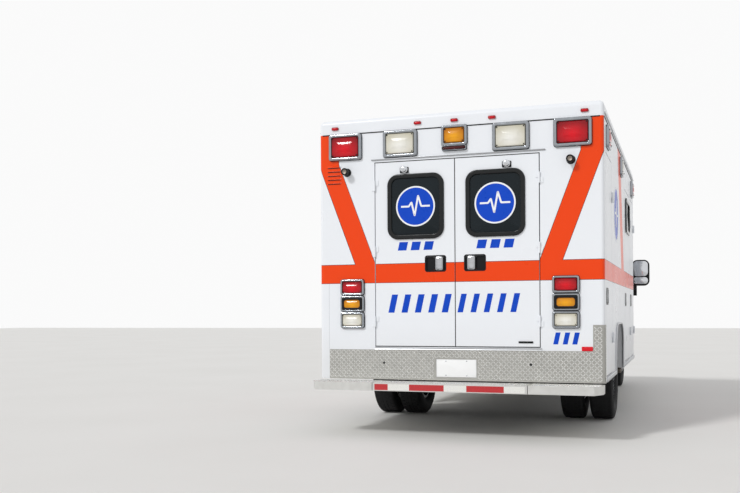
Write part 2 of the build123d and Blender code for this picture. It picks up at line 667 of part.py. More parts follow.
# Steering knuckles: a fork round the boss, and a hub that ends at the wheel's disc
LUG = 26
FRONT_HUB_FACE = FRONT_TRACK / 2 + DISH - DISC
KNUCKLE_PLATE = KINGPIN_Y + BOSS_RADIUS + 5
knuckle_solids = [
    block(
        (X_FRONT_AXLE - 40, X_FRONT_AXLE + 40),
        (KNUCKLE_PLATE, KNUCKLE_PLATE + 25),
        (TYRE_RADIUS - BOSS_HALF - SEAT - LUG, TYRE_RADIUS + BOSS_HALF + SEAT + LUG),
    ),
    rod(
        (X_FRONT_AXLE, KNUCKLE_PLATE + 25, TYRE_RADIUS), (X_FRONT_AXLE, FRONT_HUB_FACE - SEAT, TYRE_RADIUS), 62
    ),
]
for level in (TYRE_RADIUS - BOSS_HALF - SEAT - LUG, TYRE_RADIUS + BOSS_HALF + SEAT):
    knuckle_solids.append(Pos(X_FRONT_AXLE, KINGPIN_Y, level + LUG / 2) * Cylinder(BOSS_RADIUS, LUG))
    knuckle_solids.append(
        block((X_FRONT_AXLE - 30, X_FRONT_AXLE + 30), (KINGPIN_Y, KNUCKLE_PLATE), (level, level + LUG))
    )
keep("knuckle_left", *knuckle_solids)
parts["knuckle_right"] = mirrored(parts["knuckle_left"])


# Wheels, drawn once at the origin about the Y axis and placed on their axles
def tyre_form():
    """A tyre of flat facets: stacked rings give the tread and shoulders, with the sidewalls and the bore cut in."""
    half = TYRE_WIDTH / 2
    tread = half - TYRE_SHOULDER
    shoulder = TYRE_SHOULDER / 2
    bead = RIM_WIDTH / 2 - RIM_WALL - SEAT
    facet = math.cos(math.pi / TYRE_SIDES)
    lip = (RIM_RADIUS + RIM_LIP + SEAT) / facet
    bulge = (lip + TYRE_RADIUS) / 2 + 15

    def stack(rings):
        """Regular polygons at places along the axle, joined by flat faces."""
        places = [Plane((0, along, 0), x_dir=(0, 0, 1), z_dir=(0, 1, 0)) for along, radius in rings]
        faces = [
            plane * RegularPolygon(radius, TYRE_SIDES) for plane, (along, radius) in zip(places, rings)
        ]
        return loft(faces, ruled=True)

    ring = stack(
        [
            (-half, bulge),
            (-half + shoulder, TYRE_RADIUS - 12),
            (-tread, TYRE_RADIUS),
            (tread, TYRE_RADIUS),
            (half - shoulder, TYRE_RADIUS - 12),
            (half, bulge),
        ]
    )
    for way in (1, -1):
        sidewall = [(way * bead, lip), (way * (RIM_WIDTH / 2 + 12), lip + 10), (way * half, bulge - 30)]
        ring = ring - stack(sorted(sidewall))
    bore = stack([(-half, (RIM_RADIUS + SEAT) / facet), (half, (RIM_RADIUS + SEAT) / facet)])
    return ring - bore


HAND_HOLES = 8
HAND_HOLE_RADIUS = 17
HAND_HOLE_RING = 158
CAP_RADIUS = 62
CAP_LENGTH = 45


def wheel_form():
    """A dished steel wheel, with its lips and a ring of hand holes in the disc's slope."""
    half = RIM_WIDTH / 2
    inside = RIM_RADIUS - RIM_WALL
    sections = [
        (inside, -half),
        (RIM_RADIUS + RIM_LIP, -half),
        (RIM_RADIUS + RIM_LIP, -half + RIM_WALL),
        (RIM_RADIUS, -half + RIM_WALL),
        (RIM_RADIUS, half - RIM_WALL),
        (RIM_RADIUS + RIM_LIP, half - RIM_WALL),
        (RIM_RADIUS + RIM_LIP, half),
        (inside, half),
        (HUB_RADIUS + 15, DISH),
        (0, DISH),
        (0, DISH - DISC),
        (HUB_RADIUS + 8, DISH - DISC),
        (inside, half - 2 * RIM_WALL),
    ]
    wheel = revolve(outline(sections), axis=Axis.Y)
    for i in range(HAND_HOLES):
        turn = 2 * math.pi * (i + 0.5) / HAND_HOLES
        x, z = HAND_HOLE_RING * math.cos(turn), HAND_HOLE_RING * math.sin(turn)
        wheel = wheel - rod((x, half - 2 * RIM_WALL, z), (x, DISH + 1, z), HAND_HOLE_RADIUS)
    return wheel


TWIN_HUB_RADIUS = 66
TWIN_HUB_LENGTH = 140
tyre = tyre_form()
wheel_out = {1: wheel_form()}
wheel_out[-1] = mirrored(wheel_out[1])
for name, side in (("left", 1), ("right", -1)):
    front = Pos(X_FRONT_AXLE, side * FRONT_TRACK / 2, TYRE_RADIUS)
    inner = Pos(X_REAR_AXLE, side * (TWIN_CENTRE - DISH), TYRE_RADIUS)
    outer = Pos(X_REAR_AXLE, side * (TWIN_CENTRE + DISH), TYRE_RADIUS)
    cap = front * rod((0, side * DISH, 0), (0, side * (DISH + CAP_LENGTH), 0), CAP_RADIUS)
    keep("front_rim_" + name, front * wheel_out[side], cap)
    keep("front_tyre_" + name, front * tyre)
    hub = rod(
        (X_REAR_AXLE, side * TWIN_CENTRE, TYRE_RADIUS),
        (X_REAR_AXLE, side * (TWIN_CENTRE + TWIN_HUB_LENGTH), TYRE_RADIUS),
        TWIN_HUB_RADIUS,
    )
    keep("rear_rims_" + name, (inner * wheel_out[side]) + (outer * wheel_out[-side]), hub)
    parts["rear_tyres_" + name] = Compound(children=[(inner * tyre).solid(), (outer * tyre).solid()])

# Engine block, gearbox and driveshaft
ENGINE_X = (X_COWL + 70, X_NOSE - 250)
ENGINE_Z = (560, 1000)
GEARBOX_BACK = X_COWL - 500
engine = block(ENGINE_X, (-260, 260), ENGINE_Z)
gearbox = block((GEARBOX_BACK, ENGINE_X[0]), (-150, 150), (RAIL_BOTTOM - 10, CAB_FLOOR_BOTTOM - 20))
shaft = rod(
    (X_REAR_AXLE + DIFFERENTIAL_RADIUS + SEAT, 0, TYRE_RADIUS + 20), (GEARBOX_BACK, 0, 555), 42
)
engine_mounts = block((ENGINE_X[0] + 250, ENGINE_X[0] + 350), (-rail_in, rail_in), (570, 640))
keep("powertrain", engine, gearbox, shaft, engine_mounts)

# Fuel tank between the rails behind the axle
tank = block((TANK_BACK, TANK_BACK + TANK_LENGTH), (-330, 330), (400, RAIL_TOP - CROSS_DEPTH))
keep("fuel_tank", fillet(tank.edges().filter_by(Axis.Y), 60))

# Exhaust: a silencer beside the right rail and a pipe to the side ahead of the rear wheels
PIPE_RADIUS = 28
SILENCER_RADIUS = 82
SILENCER_Y = -rail_out - 130
SILENCER_Z = RAIL_BOTTOM
PIPE_Z = 432
X_PIPE_OUT = X_REAR_AXLE + 560
silencer = rod(
    (X_CAB_BACK - 750, SILENCER_Y, SILENCER_Z), (X_CAB_BACK - 150, SILENCER_Y, SILENCER_Z), SILENCER_RADIUS
)
pipe_path = FilletPolyline(
    (X_CAB_BACK - 740, SILENCER_Y, PIPE_Z),
    (X_PIPE_OUT, SILENCER_Y, PIPE_Z),
    (X_PIPE_OUT, -HALF + 25, PIPE_Z),
    radius=130,
)
pipe = sweep(Plane(origin=pipe_path @ 0, z_dir=pipe_path % 0) * Circle(PIPE_RADIUS), path=pipe_path)
down = rod(
    (X_CAB_BACK - 160, SILENCER_Y, SILENCER_Z + 20), (GEARBOX_BACK + 250, SILENCER_Y, SILENCER_Z + 40), PIPE_RADIUS
)
hanger = block((X_CAB_BACK - 480, X_CAB_BACK - 430), (SILENCER_Y, -rail_out), (SILENCER_Z + 20, SILENCER_Z + 60))
keep("exhaust", silencer, pipe, down, hanger)

# Cab: the crossing of a side view, a front view and a plan gives its outer form, and its hollow at an inset
# The front view runs on below the rocker, so that the crossing's underside is the side view's alone
CROSS_SPARE = 50
cab_side_points = [
    (X_CAB_BACK, ROCKER),
    (X_CAB_BACK, CAB_TOP),
    (X_ROOF, CAB_TOP),
    (X_COWL, BELT),
    (X_HOOD, HOOD_FRONT_HEIGHT),
    (X_GRILLE, HOOD_FRONT_HEIGHT - 90),
    (X_GRILLE, 600),
    (X_GRILLE - 60, ROCKER),
]
cab_front_points = [
    (-CAB_HALF, ROCKER - CROSS_SPARE),
    (CAB_HALF, ROCKER - CROSS_SPARE),
    (CAB_HALF, BELT),
    (CAB_ROOF_HALF, CAB_TOP),
    (-CAB_ROOF_HALF, CAB_TOP),
    (-CAB_HALF, BELT),
]
cab_plan_points = [
    (X_CAB_BACK, -CAB_HALF),
    (X_FRONT_AXLE + 360, -CAB_HALF),
    (X_GRILLE, -CAB_HALF + 130),
    (X_GRILLE, CAB_HALF - 130),
    (X_FRONT_AXLE + 360, CAB_HALF),
    (X_CAB_BACK, CAB_HALF),
]
# Corner radii of the three views, in the order of their points
CAB_SIDE_RADII = [0, 30, 260, 60, 110, 60, 60, 0]
CAB_FRONT_RADII = [0, 0, 400, 130, 130, 400]
CAB_PLAN_RADII = [0, 160, 90, 90, 160, 0]


def cab_form(inset, rounded_edges=False):
    """The cab's outer form moved inwards by one thickness."""
    if rounded_edges:
        side_view = outline(cab_side_points, CAB_SIDE_RADII)
        front_view = outline(cab_front_points, CAB_FRONT_RADII)
        plan = outline(cab_plan_points, CAB_PLAN_RADII)
    else:
        side_view = outline(cab_side_points)
        front_view = outline(cab_front_points)
        plan = outline(cab_plan_points)
    if inset:
        side_view = offset(side_view, amount=-inset, kind=Kind.INTERSECTION)
        front_view = offset(front_view, amount=-inset, kind=Kind.INTERSECTION)
        plan = offset(plan, amount=-inset, kind=Kind.INTERSECTION)
    form = side_prism(side_view, (-CAB_HALF - 10, CAB_HALF + 10))
    form = form & front_prism(front_view, (X_CAB_BACK - 10, X_GRILLE + 10))
    return form & raised(plan, (0, CAB_TOP + 10))


cab_outer = cab_form(0, rounded_edges=True)
cab_inner = cab_form(CAB_WALL)
cab_skin = cab_form(DOOR_SKIN)
glass_outer = cab_form(GLASS_RECESS)
glass_inner = cab_form(GLASS_RECESS + GLASS)

# Cab door outline in the side view, with its slanted front pillar edge
X_DOOR_FRONT = X_FRONT_AXLE - CAB_ARCH + 22
X_DOOR_BACK = X_CAB_BACK + 150
DOOR_BOTTOM = ROCKER + 65
DOOR_TOP = CAB_TOP - 95
PILLAR = 150
screen_slope = (X_COWL - X_ROOF) / (CAB_TOP - BELT)
Z_DOOR_BEND = CAB_TOP - (X_DOOR_FRONT + PILLAR - X_ROOF) / screen_slope
X_DOOR_TOP = X_ROOF + (CAB_TOP - DOOR_TOP) * screen_slope - PILLAR
door_points = [
    (X_DOOR_BACK, DOOR_BOTTOM),
    (X_DOOR_FRONT, DOOR_BOTTOM),
    (X_DOOR_FRONT, Z_DOOR_BEND),
    (X_DOOR_TOP, DOOR_TOP),
    (X_DOOR_BACK, DOOR_TOP),
]
door_face = outline(door_points, [40, 40, 200, 60, 60])
door_hole = offset(door_face, amount=CAB_DOOR_GAP, kind=Kind.INTERSECTION)
pan_face = offset(outline(door_points), amount=-PAN_INSET - 10, kind=Kind.INTERSECTION)
SILL = BELT + 40
FRAME = 75
pane_face = outline(
    [
        (X_DOOR_BACK + FRAME, SILL),
        (X_DOOR_FRONT - FRAME, SILL),
        (X_DOOR_FRONT - FRAME, Z_DOOR_BEND + 20),
        (X_DOOR_TOP - 25, DOOR_TOP - FRAME),
        (X_DOOR_BACK + FRAME, DOOR_TOP - FRAME),
    ],
    [45, 30, 40, 45, 45],
)

shell = cab_outer - cab_inner
left_side = (CAB_HALF - 300, CAB_HALF + 20)
shell = shell - side_prism(door_hole, (-CAB_HALF - 20, CAB_HALF + 20))

# Hood between the fenders, cut out of the same form
HOOD_HALF = 820
HOOD_GAP = 6
HOOD_LIP = HOOD_FRONT_HEIGHT - 60
HOOD_THICK = 45
hood_space = block((X_COWL + 20, X_NOSE), (-HOOD_HALF, HOOD_HALF), (HOOD_LIP, BELT + 100))
hood_fit = block(
    (X_COWL + 20 + 2 * HOOD_GAP, X_NOSE),
    (-HOOD_HALF + HOOD_GAP, HOOD_HALF - HOOD_GAP),
    (HOOD_LIP + HOOD_GAP, BELT + 100),
)
keep("hood", (cab_outer - cab_form(HOOD_THICK)) & hood_fit)
shell = shell - hood_space

# Rubber pads on the nose panel, on which the closed hood rests
PAD_Y = 500
hood_pads = [
    block(
        (X_GRILLE - 50, X_GRILLE - 20),
        (side * PAD_Y - 20, side * PAD_Y + 20),
        (HOOD_LIP - 5, HOOD_LIP + HOOD_GAP - SEAT),
    )
    for side in (1, -1)
]

# Windscreen opening along the slanted face
SCREEN_EDGE = 70
screen_half = CAB_ROOF_HALF - SCREEN_EDGE
screen_low = BELT + 40
screen_high = CAB_TOP - SCREEN_EDGE
screen_view = front_prism(
    outline(
        [
            (-CAB_HALF + 110, screen_low),
            (CAB_HALF - 110, screen_low),
            (screen_half, screen_high),
            (-screen_half, screen_high),
        ],
        60,
    ),
    (X_ROOF - 200, X_NOSE),
)
keep("windshield", (glass_outer & screen_view) - glass_inner)
shell = shell - screen_view

# Front wheel arches, open underside, way through to the box, grille and lamp openings
for side in (1, -1):
    shell = shell - rod(
        (X_FRONT_AXLE, side * 560, TYRE_RADIUS), (X_FRONT_AXLE, side * (CAB_HALF + 20), TYRE_RADIUS), CAB_ARCH
    )
shell = shell - block(
    (X_CAB_BACK - 1, X_GRILLE - CAB_WALL - 40),
    (-CAB_HALF + CAB_WALL, CAB_HALF - CAB_WALL),
    (ROCKER - 1, CAB_FLOOR_BOTTOM),
)
shell = shell - block((X_CAB_BACK - 1, X_NOSE), (-CAB_HALF + CAB_WALL, CAB_HALF - CAB_WALL), (ROCKER - 1, NOSE_BOTTOM))
shell = shell - block(
    (X_CAB_BACK - 1, X_CAB_BACK + CAB_WALL + 1), (-WALK_HALF, WALK_HALF), (CAB_FLOOR_TOP, WALK_TOP)
)
GRILLE_HALF = 560
GRILLE_Z = (690, 1015)
LAMP_Y = (600, 850)
LAMP_Z = (800, 990)
nose_x = (X_GRILLE - CAB_WALL - 60, X_NOSE)
shell = shell - block(nose_x, (-GRILLE_HALF, GRILLE_HALF), GRILLE_Z)
for side in (1, -1):
    shell = shell - block(nose_x, (side * LAMP_Y[0], side * LAMP_Y[1]), LAMP_Z)

# Cab floor, toe board and firewall
inside = (-CAB_HALF + CAB_WALL + SEAT, CAB_HALF - CAB_WALL - SEAT)
X_TOE = X_FRONT_AXLE - CAB_ARCH - 5
FIREWALL = 40
TOE_TOP = 1010
cab_floor = block((X_CAB_BACK + CAB_WALL + SEAT, X_TOE - SEAT), inside, (CAB_FLOOR_BOTTOM, CAB_FLOOR_TOP))
toe = side_prism(
    outline(
        [
            (X_TOE, CAB_FLOOR_BOTTOM),
            (X_COWL + 20, TOE_TOP - 50),
            (X_COWL + 20, BELT - CAB_WALL),
            (X_COWL + 20 - FIREWALL, BELT - CAB_WALL),
            (X_COWL + 20 - FIREWALL, TOE_TOP),
            (X_TOE, CAB_FLOOR_TOP),
        ]
    ),
    inside,
)
keep("cab_shell", shell, cab_floor, toe & cab_form(CAB_WALL + SEAT), *hood_pads)

# Cab doors with their panes and mirrors
MIRROR_Y = (1150, 1372)
MIRROR_Z = (1370, 1712)
MIRROR_X = (X_DOOR_FRONT - 130, X_DOOR_FRONT - 45)
door_shell = (cab_outer - cab_skin) & side_prism(door_face, left_side)
door_pan = (cab_skin - cab_inner) & side_prism(pan_face, left_side)
pane_view = side_prism(pane_face, left_side)
hinge_x = X_DOOR_FRONT + CAB_DOOR_GAP / 2
knuckles, frames = upright_hinge(hinge_x, CAB_HALF, (-1, 0), (0, 1), (720, 1180))
CAB_HANDLE_Z = BELT - 135
pocket, paddle = paddle_handle((X_DOOR_BACK + SIDE_HANDLE_IN, CAB_HALF, CAB_HANDLE_Z), (-1, 0, 0), (0, 1, 0))
keep("cab_door_left", (door_shell + door_pan) - pane_view - pocket, paddle, *knuckles)
keep("cab_window_left", (glass_outer & pane_view) - glass_inner)
mirror_face = rounded((MIRROR_Y[0], MIRROR_Z[0]), (MIRROR_Y[1], MIRROR_Z[1]), 70)
mirror_head = front_prism(mirror_face, MIRROR_X)
arm_x = (MIRROR_X[0] + MIRROR_X[1]) / 2
ARM_Z = (BELT - 60, BELT - 15)
arm = block((arm_x - 22, arm_x + 22), (CAB_HALF, MIRROR_Y[0] + 60), ARM_Z)
post = block((arm_x - 22, arm_x + 22), (MIRROR_Y[0] + 15, MIRROR_Y[0] + 60), (ARM_Z[0], MIRROR_Z[0] + 20))
keep("mirror_left", mirror_head, arm, post)
for name in ("cab_door", "cab_window", "mirror"):
    parts[name + "_right"] = mirrored(parts[name + "_left"])
for piece in frames:
    parts["cab_shell"] = parts["cab_shell"] + piece + mirrored(piece)

# Grille with its bars, headlamps and front bumper
BAR = 16
grille_solids = [
    block(
        (X_GRILLE - 50, X_GRILLE + 6),
        (-GRILLE_HALF + SEAT, GRILLE_HALF - SEAT),
        (GRILLE_Z[0] + SEAT, GRILLE_Z[1] - SEAT),
    )
    - block((X_GRILLE - 60, X_GRILLE + 10), (-GRILLE_HALF + 26, GRILLE_HALF - 26), (GRILLE_Z[0] + 26, GRILLE_Z[1] - 26))
]
BARS = 5
pitch = (GRILLE_Z[1] - GRILLE_Z[0]) / (BARS + 1)
for i in range(BARS):
    z = GRILLE_Z[0] + pitch * (i + 1)
    grille_solids.append(
        block((X_GRILLE - 44, X_GRILLE), (-GRILLE_HALF + 20, GRILLE_HALF - 20), (z - BAR / 2, z + BAR / 2))
    )
for y in (-GRILLE_HALF / 2, 0, GRILLE_HALF / 2):
    grille_solids.append(
        block((X_GRILLE - 50, X_GRILLE - 20), (y - 9, y + 9), (GRILLE_Z[0] + 10, GRILLE_Z[1] - 10))
    )
keep("grille", *grille_solids)
lamp = cab_form(0, rounded_edges=True) & block(
    (X_GRILLE - 90, X_NOSE), (LAMP_Y[0] + SEAT, LAMP_Y[1] - SEAT), (LAMP_Z[0] + SEAT, LAMP_Z[1] - SEAT)
)
parts["headlamps"] = Compound(children=[lamp.solid(), mirrored(lamp).solid()])

BUMPER_Z = (430, 650)
BUMPER_WALL = 30
BUMPER_HALF = CAB_HALF
bumper_outer = outline(
    [
        (X_NOSE - 330, -BUMPER_HALF),
        (X_NOSE - 150, -BUMPER_HALF),
        (X_NOSE, -BUMPER_HALF + 150),
        (X_NOSE, BUMPER_HALF - 150),
        (X_NOSE - 150, BUMPER_HALF),
        (X_NOSE - 330, BUMPER_HALF),
    ],
    [0, 60, 60, 60, 60, 0],
)
bumper_room = offset(outline(
    [
        (X_NOSE - 430, -BUMPER_HALF),
        (X_NOSE - 150, -BUMPER_HALF),
        (X_NOSE, -BUMPER_HALF + 150),
        (X_NOSE, BUMPER_HALF - 150),
        (X_NOSE - 150, BUMPER_HALF),
        (X_NOSE - 430, BUMPER_HALF),
    ]
), amount=-BUMPER_WALL, kind=Kind.INTERSECTION)
bumper = raised(bumper_outer - bumper_room, BUMPER_Z)
irons = [
    block((x_rail[1], X_NOSE - BUMPER_WALL), (side * rail_in, side * rail_out), (500, 570)) for side in (1, -1)
]
keep("front_bumper", bumper - cab_form(-SEAT), *irons)

# Cab seats, dashboard and steering wheel
SEAT_Y = 430
SEAT_HALF = 250
SEAT_HEADROOM = 305
SQUAB_HEIGHT = 360
SQUAB_DEPTH = 450
BACK_THICK = 129
x_back = X_CAB_BACK + 180
x_squab = x_back + BACK_THICK + 1
seats = []
for side in (1, -1):
    y = (side * SEAT_Y - SEAT_HALF, side * SEAT_Y + SEAT_HALF)
    squab = block((x_squab, x_squab + SQUAB_DEPTH), y, (CAB_FLOOR_TOP + SEAT, CAB_FLOOR_TOP + SQUAB_HEIGHT))
    back = block((x_back, x_back + BACK_THICK), y, (CAB_FLOOR_TOP + SEAT, CAB_TOP - SEAT_HEADROOM))
    seats.extend([squab.solid(), back.solid()])
parts["cab_seats"] = Compound(children=seats)
DASH_HALF = CAB_HALF - CAB_WALL - 12
dash_x = X_COWL + 20 - FIREWALL
dash = side_prism(
    outline(
        [
            (dash_x, BELT - CAB_WALL - 10),
            (dash_x - 250, BELT - CAB_WALL - 40),
            (dash_x - 370, BELT - 160),
            (dash_x - 330, BELT - 330),
            (dash_x, TOE_TOP + 12),
        ],
        [0, 60, 60, 40, 0],
    ),
    (-DASH_HALF, DASH_HALF),
)
WHEEL_RADIUS = 195
WHEEL_CENTRE = (dash_x - 450, SEAT_Y, BELT + 10)
COLUMN_WAY = (-0.766, 0, 0.643)
wheel_plane = Plane(origin=WHEEL_CENTRE, z_dir=COLUMN_WAY)
spokes = [
    wheel_plane * Rot(0, 0, angle) * Pos(WHEEL_RADIUS / 2, 0, 0) * Box(WHEEL_RADIUS, 30, 12) for angle in (0, 130, 230)
]
keep("steering_wheel", wheel_plane * Torus(WHEEL_RADIUS, 14), wheel_plane * Cylinder(48, 30), *spokes)
column = extrude(wheel_plane * Pos(0, 0, -15 - SEAT) * Circle(32), amount=-230)
keep("dashboard", dash, column)

# Diamond plates: the kick plate under the rear doors with its plate recess, the right corner guard, running boards
PLATE = 3
KICK_TOP = 718
KICK_LEFT = 1133
GUARD_INNER = 1126
GUARD_TOP = 929
GUARD_WRAP = 90
RECESS_Y = (-178, 167)
RECESS_Z = (491, 641)
plate_plan = (
    Pos(X_FACE + MODULE_LENGTH / 2, 0)
    * RectangleRounded(MODULE_LENGTH + 2 * PLATE, MODULE_WIDTH + 2 * PLATE, MODULE_CORNER + PLATE)
) - module_plan
plate_wrap = raised(plate_plan, (MODULE_BOTTOM, GUARD_TOP))
kick = plate_wrap & block((X_FACE - PLATE, X_FACE + GUARD_WRAP), (-HALF - PLATE, KICK_LEFT), (MODULE_BOTTOM, KICK_TOP))
kick = kick - block((X_FACE - PLATE - 1, X_FACE), RECESS_Y, RECESS_Z)
guard = plate_wrap & block(
    (X_FACE - PLATE, X_FACE + GUARD_WRAP), (-HALF - PLATE, -GUARD_INNER), (KICK_TOP, GUARD_TOP)
)
BOARD = 70
boards = []
for side in (1, -1):
    board = block(
        (X_DOOR_BACK, X_DOOR_FRONT - 20), (side * (CAB_HALF - 120), side * (CAB_HALF + BOARD)), (ROCKER - 60, ROCKER)
    )
    boards.append(board.solid())
parts["diamond_plates"] = Compound(children=[(kick + guard).solid(), *boards])

# Rear step: two fixed ends on a beam, and a part between them that turns up against the kick plate
STEP_TOP = 455
STEP_THICK = 68
STEP_STANDOFF = 35
FLIP_HALF = 643
FLIP_GAP = 5
STEP_HINGE_X = X_FACE - STEP_STANDOFF - STEP_THICK / 2
STEP_HINGE_Z = STEP_TOP - STEP_THICK / 2
step_z = (STEP_TOP - STEP_THICK, STEP_TOP)
step_solids = [
    block((X_FACE - STEP_STANDOFF + FLIP_GAP, X_FACE + 30), (-HALF + 20, HALF - 20), (step_z[0] + 8, MODULE_BOTTOM - 12))
]
for side in (1, -1):
    end = outline(
        [
            (X_FACE - STEP_STANDOFF + FLIP_GAP, side * (FLIP_HALF + FLIP_GAP)),
            (X_STEP, side * (FLIP_HALF + FLIP_GAP)),
            (X_STEP, side * (HALF - 60)),
            (X_STEP + 120, side * HALF),
            (X_FACE - STEP_STANDOFF + FLIP_GAP, side * HALF),
        ]
    )
    step_solids.append(raised(end, step_z))
    step_solids.append(
        rod(
            (STEP_HINGE_X, side * (FLIP_HALF + SEAT), STEP_HINGE_Z),
            (STEP_HINGE_X, side * (FLIP_HALF + FLIP_GAP), STEP_HINGE_Z),
            14,
        )
    )
    step_solids.append(
        block((X_FACE, X_FACE + 330), (side * rail_in, side * rail_out), (step_z[0] + 8, MODULE_BOTTOM - 12))
    )
    step_solids.append(
        block((x_rail[0], X_FACE + 330), (side * rail_in, side * rail_out), (MODULE_BOTTOM - 12, RAIL_BOTTOM))
    )
keep("rear_step", *step_solids)
flip = block((X_STEP, STEP_HINGE_X), (-FLIP_HALF, FLIP_HALF), step_z)
flip_pivot = rod(
    (STEP_HINGE_X, -FLIP_HALF, STEP_HINGE_Z), (STEP_HINGE_X, FLIP_HALF, STEP_HINGE_Z), STEP_THICK / 2
)
keep("flip_step", flip, flip_pivot)

# Lamps of the box: centre along the face, height of the centre, width, height, bezel width, lens
REAR_LAMPS = (
    (975, CAP_BOTTOM - 118, 302, 228, 26, "red"),
    (475, CAP_BOTTOM - 118, 302, 228, 26, "clear"),
    (0, CAP_BOTTOM - 79, 220, 172, 22, "amber"),
    (0, CAP_BOTTOM - 185, 210, 40, 5, "red"),
    (915, 1257, 214, 136, 16, "red"),
    (915, 1114, 214, 136, 16, "amber"),
    (915, 971, 214, 136, 16, "clear"),
)
SIDE_LAMPS = (
    (310, CAP_BOTTOM - 128, 230, 180, 22, "red"),
    (1950, CAP_BOTTOM - 128, 230, 180, 22, "clear"),
    (MODULE_LENGTH - 410, CAP_BOTTOM - 128, 230, 180, 22, "red"),
)
FRONT_LAMPS = (
    (975, CAP_BOTTOM - 168, 302, 228, 26, "red"),
    (475, CAP_BOTTOM - 168, 302, 228, 26, "red"),
    (0, CAP_BOTTOM - 168, 302, 228, 26, "clear"),
)
BEZEL_PROUD = 26
LENS_PROUD = 34
LENS_CORNER = 12
# Marker lamps on the cap: distance from the middle line
MARKERS = (0, 320, 1070)
MARKER_SIZE = (62, 26, 20)
bezels = []
lenses = {"red": [], "amber": [], "clear": []}


def lamp_pair(centre, height, width, high, edge):
    """The bezel and lens outlines of one lamp."""
    outer = Pos(centre, height) * RectangleRounded(width, high, LENS_CORNER + edge / 3)
    inner = Pos(centre, height) * RectangleRounded(width - 2 * edge, high - 2 * edge, LENS_CORNER)
    return outer - inner, inner


for y, z, width, high, edge, lens in REAR_LAMPS:
    for side in (1, -1) if y else (1,):
        ring, glass = lamp_pair(side * y, z, width, high, edge)
        bezels.append(front_prism(ring, (X_FACE - BEZEL_PROUD, X_FACE)).solid())
        lenses[lens].append(front_prism(glass, (X_FACE - LENS_PROUD, X_FACE)).solid())
for y, z, width, high, edge, lens in FRONT_LAMPS:
    for side in (1, -1) if y else (1,):
        ring, glass = lamp_pair(side * y, z, width, high, edge)
        bezels.append(front_prism(ring, (X_MODULE_FRONT, X_MODULE_FRONT + BEZEL_PROUD)).solid())
        lenses[lens].append(front_prism(glass, (X_MODULE_FRONT, X_MODULE_FRONT + LENS_PROUD)).solid())
for start, z, width, high, edge, lens in SIDE_LAMPS:
    for side in (1, -1):
        ring, glass = lamp_pair(X_FACE + start, z, width, high, edge)
        bezels.append(side_prism(ring, (side * HALF, side * (HALF + BEZEL_PROUD))).solid())
        lenses[lens].append(side_prism(glass, (side * HALF, side * (HALF + LENS_PROUD))).solid())
marker_z = (CAP_BOTTOM + MODULE_TOP - CAP_EDGE) / 2 + 6
for y in MARKERS:
    for side in (1, -1) if y else (1,):
        across = (side * y - MARKER_SIZE[0] / 2, side * y + MARKER_SIZE[0] / 2)
        upright = (marker_z - MARKER_SIZE[1] / 2, marker_z + MARKER_SIZE[1] / 2)
        lenses["red"].append(block((X_FACE - MARKER_SIZE[2], X_FACE), across, upright).solid())
        lenses["amber"].append(
            block((X_MODULE_FRONT, X_MODULE_FRONT + MARKER_SIZE[2]), across, upright).solid()
        )
parts["lamp_bezels"] = Compound(children=bezels)
for colour, solids in lenses.items():
    parts[colour + "_lenses"] = Compound(children=solids)

# Rear wall with the hinge frames and the catches that hold the open doors
for side in (1, -1):
    rear_wall = rear_wall + rod(
        (X_FACE, side * CATCH_Y, HOOK_Z), (X_FACE - CATCH_LENGTH, side * CATCH_Y, HOOK_Z), CATCH_RADIUS
    )
for piece in hinge_frames:
    rear_wall = rear_wall + piece
for i in range(LOUVRES):
    foot = LOUVRE_LOW + i * LOUVRE_PITCH
    hood = outline(
        [
            (X_FACE + 1, foot),
            (X_FACE - LOUVRE_PROUD, foot),
            (X_FACE - LOUVRE_PROUD, foot + LOUVRE_LIP),
            (X_FACE + 1, foot + LOUVRE_HOOD),
        ]
    )
    rear_wall = rear_wall + side_prism(hood, LOUVRE_Y)

# Four holes behind the plate recess take the screws of a licence plate
PLATE_HOLE = 3.2
PLATE_HOLE_DEPTH = 15
PLATE_SPACING = (177.8, 120.65)
plate_centre = ((RECESS_Y[0] + RECESS_Y[1]) / 2, (RECESS_Z[0] + RECESS_Z[1]) / 2)
for across in (-1, 1):
    for up in (-1, 1):
        y = plate_centre[0] + across * PLATE_SPACING[0] / 2
        z = plate_centre[1] + up * PLATE_SPACING[1] / 2
        rear_wall = rear_wall - rod((X_FACE - 1, y, z), (X_FACE + PLATE_HOLE_DEPTH, y, z), PLATE_HOLE)
keep("module_rear_wall", rear_wall)

os.makedirs("parts", exist_ok=True)
for name, solid in parts.items():
    export_step(solid, "parts/" + name + ".step")
print(len(parts), "pieces,", X_NOSE - X_STEP, "mm long")
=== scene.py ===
# %% [markdown]
# # A box-bodied ambulance, dressed for a studio picture
# The fixed frame comes first: every solid at its real size, riding on the body that carries it. What
# follows gives those solids their finish, or adds the thin and small things that a workshop fits last:
# seals, handles, lamps, tread plate, tape, tyres and cushions. Lengths are in metres, X points ahead, Y to
# the left and Z up.

# %% Load the frame
import json
import math
from contextlib import contextmanager

import bmesh
import bpy
from mathutils import Matrix, Vector

